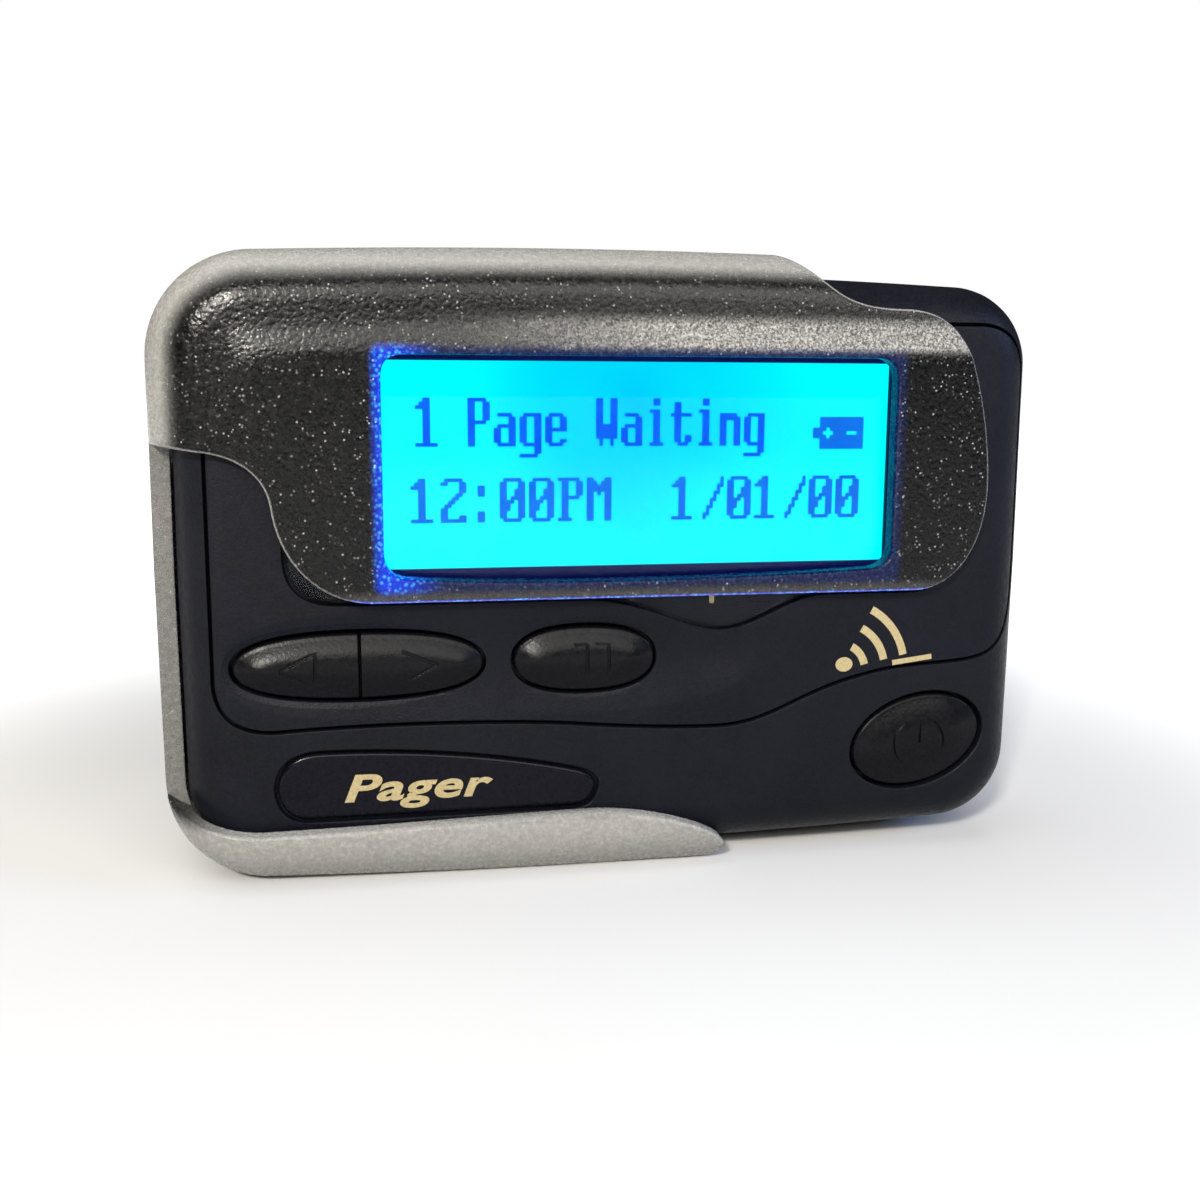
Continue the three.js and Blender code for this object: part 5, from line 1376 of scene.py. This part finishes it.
def screw(x, z):
    head, tip = SCREW_HEAD_FRONT, CASE_WALL + SEAM_GAP
    profile = [(0.02, tip), (0.6, tip), (1.0, tip + 0.8), (1.0, head), (1.75, head), (1.9, head + 0.15),
               (1.9, head + 0.9), (1.75, head + 1.2), (1.33, head + 1.5), (0.02, head + 1.5)]
    rings = [[(x + r * math.cos(a), y, z + r * math.sin(a))
              for a in [2 * math.pi * k / 32 for k in range(32)]] for r, y in profile]
    bars = [block(x - 1.2, x + 1.2, head + 0.9, OUTSIDE, z - 0.22, z + 0.22),
            block(x - 0.22, x + 0.22, head + 0.9, OUTSIDE, z - 1.2, z + 1.2)]
    return cut(loft(rings), *bars)


for index, (screw_x, screw_z) in enumerate(SCREWS):
    place(f"case_screw_looks_{index + 1}", screw(screw_x, screw_z), steel, "pager", "steel",
          f"case_screw_{index + 1}")


# ------------------------------------------------------------ holster
def holster_cavity():
    low, high = BOTTOM - CLEARANCE, TOP + CLEARANCE
    front, back = -CLEARANCE, DEPTH + CLEARANCE
    front_round, back_round = FRONT_ROUND + CLEARANCE, BACK_ROUND + CLEARANCE
    section = []
    corners = [
        (back - back_round, high - back_round, back_round, 0),
        (front + front_round, high - front_round, front_round, 90),
        (front + front_round, low + front_round, front_round, 180),
        (back - back_round, low + back_round, back_round, 270),
    ]
    for y, z, radius, start in corners:
        section += arc(y, z, radius, start, start + 90, 12)
    return join(rounded_form(-CLEARANCE), prism_x(section, 0, 70))


def holster_shell():
    surface = form_depth(-SHELL_GROWTH, dipped=True)
    shell = cut(holster_form(), holster_cavity())
    hood = common(shell, edged(hood_region(), CUT_ROUND, surface, OUTSIDE))
    lip = common(shell, edged(lip_region(), CUT_ROUND, surface, OUTSIDE))
    wall_box = [(SIDE_CUTBACK, LIP_TOP - 2), (OUTSIDE, LIP_TOP - 2),
                (OUTSIDE, HOOD_LOW + 16), (SIDE_CUTBACK, HOOD_LOW + 16)]
    wall = common(shell, prism_x(wall_box, -OUTSIDE, LEFT + CORNER_RADIUS))
    plate = rounded_rectangle(-OUTSIDE, BACK_PLATE_RIGHT, BOTTOM + 3, TOP - 3, 9)
    back = common(shell, prism(plate, DEPTH - 0.5, OUTSIDE))
    body = join(hood, lip, wall, back)
    window = edged(window_outline(), CUT_ROUND, flat_surface(HOLSTER_FRONT), 1.0, flare=True)
    base = block(-FAR, FAR, -FAR, FAR, -FAR, BASE_Z)
    body = cut(body, window, base)
    reach = CLIP_WIDTH / 2 + SEAM_GAP
    ears = []
    for side in (-1, 1):
        x0, x1 = sorted((side * reach, side * (reach + EAR_THICKNESS)))
        root = block(x0, x1, HOLSTER_BACK - 1, PIN_Y,
                     CLIP_PIN_Z - BARREL_RADIUS, CLIP_PIN_Z + BARREL_RADIUS)
        ears.append(join(root, bar_x(PIN_Y, CLIP_PIN_Z, BARREL_RADIUS, x0, x1)))
    body = join(body, *ears)
    return cut(body, bar_x(PIN_Y, CLIP_PIN_Z, PIN_RADIUS + PIN_CLEARANCE, -20, 20))


place("holster_looks", holster_shell(), smoke, "holster", "smoke_plastic", "holster_shell")


# ------------------------------------------------------------ belt clip
def belt_clip():
    x0, x1 = -CLIP_WIDTH / 2, CLIP_WIDTH / 2
    foot = HOLSTER_BACK + SEAM_GAP
    o = Outline(CLIP_INNER - 1, CLIP_TAB_TOP)
    o.line(CLIP_INNER - 1 + CLIP_THICKNESS, CLIP_TAB_TOP)
    o.line(CLIP_OUTER, CLIP_PIN_Z)
    o.line(CLIP_OUTER, CLIP_FOOT_Z + 5)
    o.bend(CLIP_OUTER, CLIP_FOOT_Z, foot + 3.4, CLIP_FOOT_Z - 1)
    o.line(foot + 1, CLIP_FOOT_Z + 0.2)
    o.bend(foot, CLIP_FOOT_Z + 1, foot, CLIP_FOOT_Z + 1.6)
    o.bend(foot + 0.4, CLIP_FOOT_Z + 2.6, foot + 2.4, CLIP_FOOT_Z + 3)
    o.bend(CLIP_INNER, CLIP_FOOT_Z + 3.4, CLIP_INNER, CLIP_FOOT_Z + 7)
    o.line(CLIP_INNER, CLIP_PIN_Z)
    profile = o.closed()
    soft = 0.35
    rings = []
    for x, inward in ((x0, soft), (x0 + soft * 0.3, soft * 0.3), (x0 + soft, 0.0),
                      (x1 - soft, 0.0), (x1 - soft * 0.3, soft * 0.3), (x1, soft)):
        rings.append([(x, y, z) for y, z in inset(profile, inward)])
    arm = loft(rings)
    barrel = bar_x(PIN_Y, CLIP_PIN_Z, BARREL_RADIUS, x0, x1)
    bridge = block(x0, x1, PIN_Y, CLIP_INNER + 0.5, CLIP_PIN_Z - 1.4, CLIP_PIN_Z + 1.4)
    half = TORSION_LENGTH / 2 + SEAM_GAP
    room_back = PIN_Y + PIN_RADIUS + PIN_CLEARANCE + TORSION_WIRE + SEAM_GAP * 2
    room = block(-half, half, HOLSTER_BACK, room_back,
                 CLIP_PIN_Z - BARREL_RADIUS - 2, CLIP_PIN_Z + BARREL_RADIUS + 0.5)
    bore = bar_x(PIN_Y, CLIP_PIN_Z, PIN_RADIUS + PIN_CLEARANCE, -20, 20)
    grips = []
    for i in range(5):
        z = 15.6 + i * 1.15
        floor_y = CLIP_OUTER - 0.28 - (z - CLIP_PIN_Z) * 0.118
        grips.append(block(-8, 8, floor_y, OUTSIDE, z - 0.25, z + 0.25))
    return cut(join(arm, barrel, bridge), bore, room, *grips)


def coil(x0, x1, radius, turns, y, z, per_turn=24):
    steps = round(turns * per_turn)
    points = []
    for i in range(steps + 1):
        share = i / steps
        angle = share * turns * 2 * math.pi
        x = x0 + (x1 - x0) * share
        points.append((x, y + radius * math.cos(angle), z + radius * math.sin(angle)))
    return points


def clip_spring():
    r = TORSION_WIRE / 2
    radius = PIN_RADIUS + PIN_CLEARANCE + r
    half = TORSION_LENGTH / 2 - r
    leg_z = CLIP_PIN_Z - BARREL_RADIUS - 4
    path = [(-half, CLIP_INNER - SEAM_GAP - r, leg_z)]
    path += coil(-half, half, radius, 3.5, PIN_Y, CLIP_PIN_Z)
    path.append((half, HOLSTER_BACK + SEAM_GAP + r, leg_z))
    return wire(path, r)


pin_reach = CLIP_WIDTH / 2 + SEAM_GAP + EAR_THICKNESS
pin_rings = []
for pin_x, pin_r in ((-pin_reach, 0.8), (-pin_reach + 0.2, 1.0), (pin_reach - 0.2, 1.0), (pin_reach, 0.8)):
    pin_rings.append([(pin_x, y, z) for y, z in ellipse(PIN_Y, CLIP_PIN_Z, pin_r, pin_r, 0.0, 32)])
place("belt_clip_looks", belt_clip(), clip_plastic, "clip", "clip_plastic", "belt_clip")
place("clip_pin_looks", loft(pin_rings), steel, "holster", "steel", "clip_pin")
place("clip_spring_looks", clip_spring(), steel, "holster", "steel", "clip_spring")

# ------------------------------------------------------------ CAD nodes that stay
CARRIED = {
    "keypad_membrane": rubber, "power_key_pad": rubber, "motor_cradle": rubber,
    "ledge_connector": connector_rubber, "backlight_panel": diffuser, "main_board": solder_mask,
    "receiver_shield": steel, "crystal_can": steel, "motor_can": steel, "battery_contact": steel,
    "battery_spring": steel, "key_switch_1": steel, "key_switch_2": steel, "key_switch_3": steel,
    "key_switch_4": steel, "motor_weight": brass, "loop_antenna": brass, "processor_chip": chip_plastic,
    "display_holder": chip_plastic, "buzzer": chip_plastic, "battery_cell": cell_sleeve,
}
for node_name, node_material in CARRIED.items():
    node_mesh = nodes[node_name].data
    node_mesh.materials.clear()
    node_mesh.materials.append(node_material)


# ------------------------------------------------------------ stage, light and camera
SUN_POWER = 1.7
SUN_SPREAD = math.radians(65)
SUN_DIRECTION = Vector((0.32, -0.12, -1.0))
SURROUND_LIGHT = 0.06  # strength of the white world for everything but the camera
AZIMUTH = math.radians(-10.82)
ELEVATION = math.radians(9.51)
ROLL = math.radians(0.34)
TARGET = Vector((-2.49, 0, -2.55))
DISTANCE = 121.7
SENSOR_WIDTH = 36
FOCAL_LENGTH = 39.9


def stage_material():
    """Pale paper that grows lighter away from the object, into the white behind it."""
    material, tree, shader = new_material("pale_floor", 0.9)
    color = ramp(tree, noise(tree, 60.0, 2.0), [(0.3, 0.50), (0.7, 0.52)])
    length = vector_node(tree, "LENGTH", place_vector(tree))
    away = span_mask(tree, length, 0.055, 0.17, 0.0, 1.0)
    feed(tree, shader, Base_Color=color, Specular_IOR_Level=0.1,
         Emission_Color=mix(tree, away, (0.0, 0.0, 0.0), (1.0, 1.0, 1.0)), Emission_Strength=1.0)
    return material


def floor():
    size = 3.0
    points = [(-size, -size, 0), (size, -size, 0), (size, size, 0), (-size, size, 0)]
    mesh = bpy.data.meshes.new("floor")
    mesh.from_pydata(points, [], [(0, 1, 2, 3)])
    mesh.materials.append(stage_material())
    obj = shown("floor", mesh)


def area_light(name, place_mm, target_mm, size_mm, power, color=(1, 1, 1), depth_mm=None):
    data = bpy.data.lights.new(name, "AREA")
    data.shape = "RECTANGLE"
    data.size = size_mm * MM
    data.size_y = (depth_mm or size_mm) * MM
    data.energy = power
    data.color = color
    obj = shown(name, data)
    obj.location = Vector(place_mm) * MM + ORIGIN
    direction = Vector(target_mm) * MM + ORIGIN - obj.location
    obj.rotation_euler = direction.to_track_quat("-Z", "Y").to_euler()


floor()
sun_data = bpy.data.lights.new("daylight", "SUN")
sun_data.energy = SUN_POWER
sun_data.angle = SUN_SPREAD
sun = shown("daylight", sun_data)
sun.rotation_euler = SUN_DIRECTION.to_track_quat("-Z", "Y").to_euler()
area_light("lamp", (-190, -400, 230), (-20, 0, 5), 48, 3.6, (1.0, 0.95, 0.86))
area_light("window_front", (60, -520, 330), (0, 0, 10), 620, 4.0, (1.0, 0.97, 0.92), 300)
area_light("sky_right", (420, -160, 200), (20, 0, 0), 140, 1.0, (0.35, 0.55, 1.0))

world = bpy.data.worlds.new("studio")
world.use_nodes = True
background = world.node_tree.nodes["Background"]
path = world.node_tree.nodes.new("ShaderNodeLightPath")
dim = world.node_tree.nodes.new("ShaderNodeMapRange")
dim.inputs["To Min"].default_value = SURROUND_LIGHT
dim.inputs["To Max"].default_value = 1.0
world.node_tree.links.new(path.outputs["Is Camera Ray"], dim.inputs["Value"])
world.node_tree.links.new(dim.outputs["Result"], background.inputs["Strength"])
background.inputs["Color"].default_value = (1, 1, 1, 1)
scene.world = world
scene.view_settings.view_transform = "Standard"

camera_data = bpy.data.cameras.new("camera")
camera_data.sensor_width = SENSOR_WIDTH
camera_data.lens = FOCAL_LENGTH
camera_data.clip_start = 0.005
camera = shown("camera", camera_data)
back = Vector((
    math.sin(AZIMUTH) * math.cos(ELEVATION),
    -math.cos(AZIMUTH) * math.cos(ELEVATION),
    math.sin(ELEVATION),
))
side = (-back).cross(Vector((0, 0, 1))).normalized()
up = side.cross(-back)
rolled_side = side * math.cos(ROLL) + up * math.sin(ROLL)
rolled_up = up * math.cos(ROLL) - side * math.sin(ROLL)
camera.matrix_world = (
    (rolled_side.x, rolled_side.y, rolled_side.z, 0),
    (rolled_up.x, rolled_up.y, rolled_up.z, 0),
    (back.x, back.y, back.z, 0),
    (*((TARGET + back * DISTANCE) * MM + ORIGIN), 1),
)
scene.camera = camera
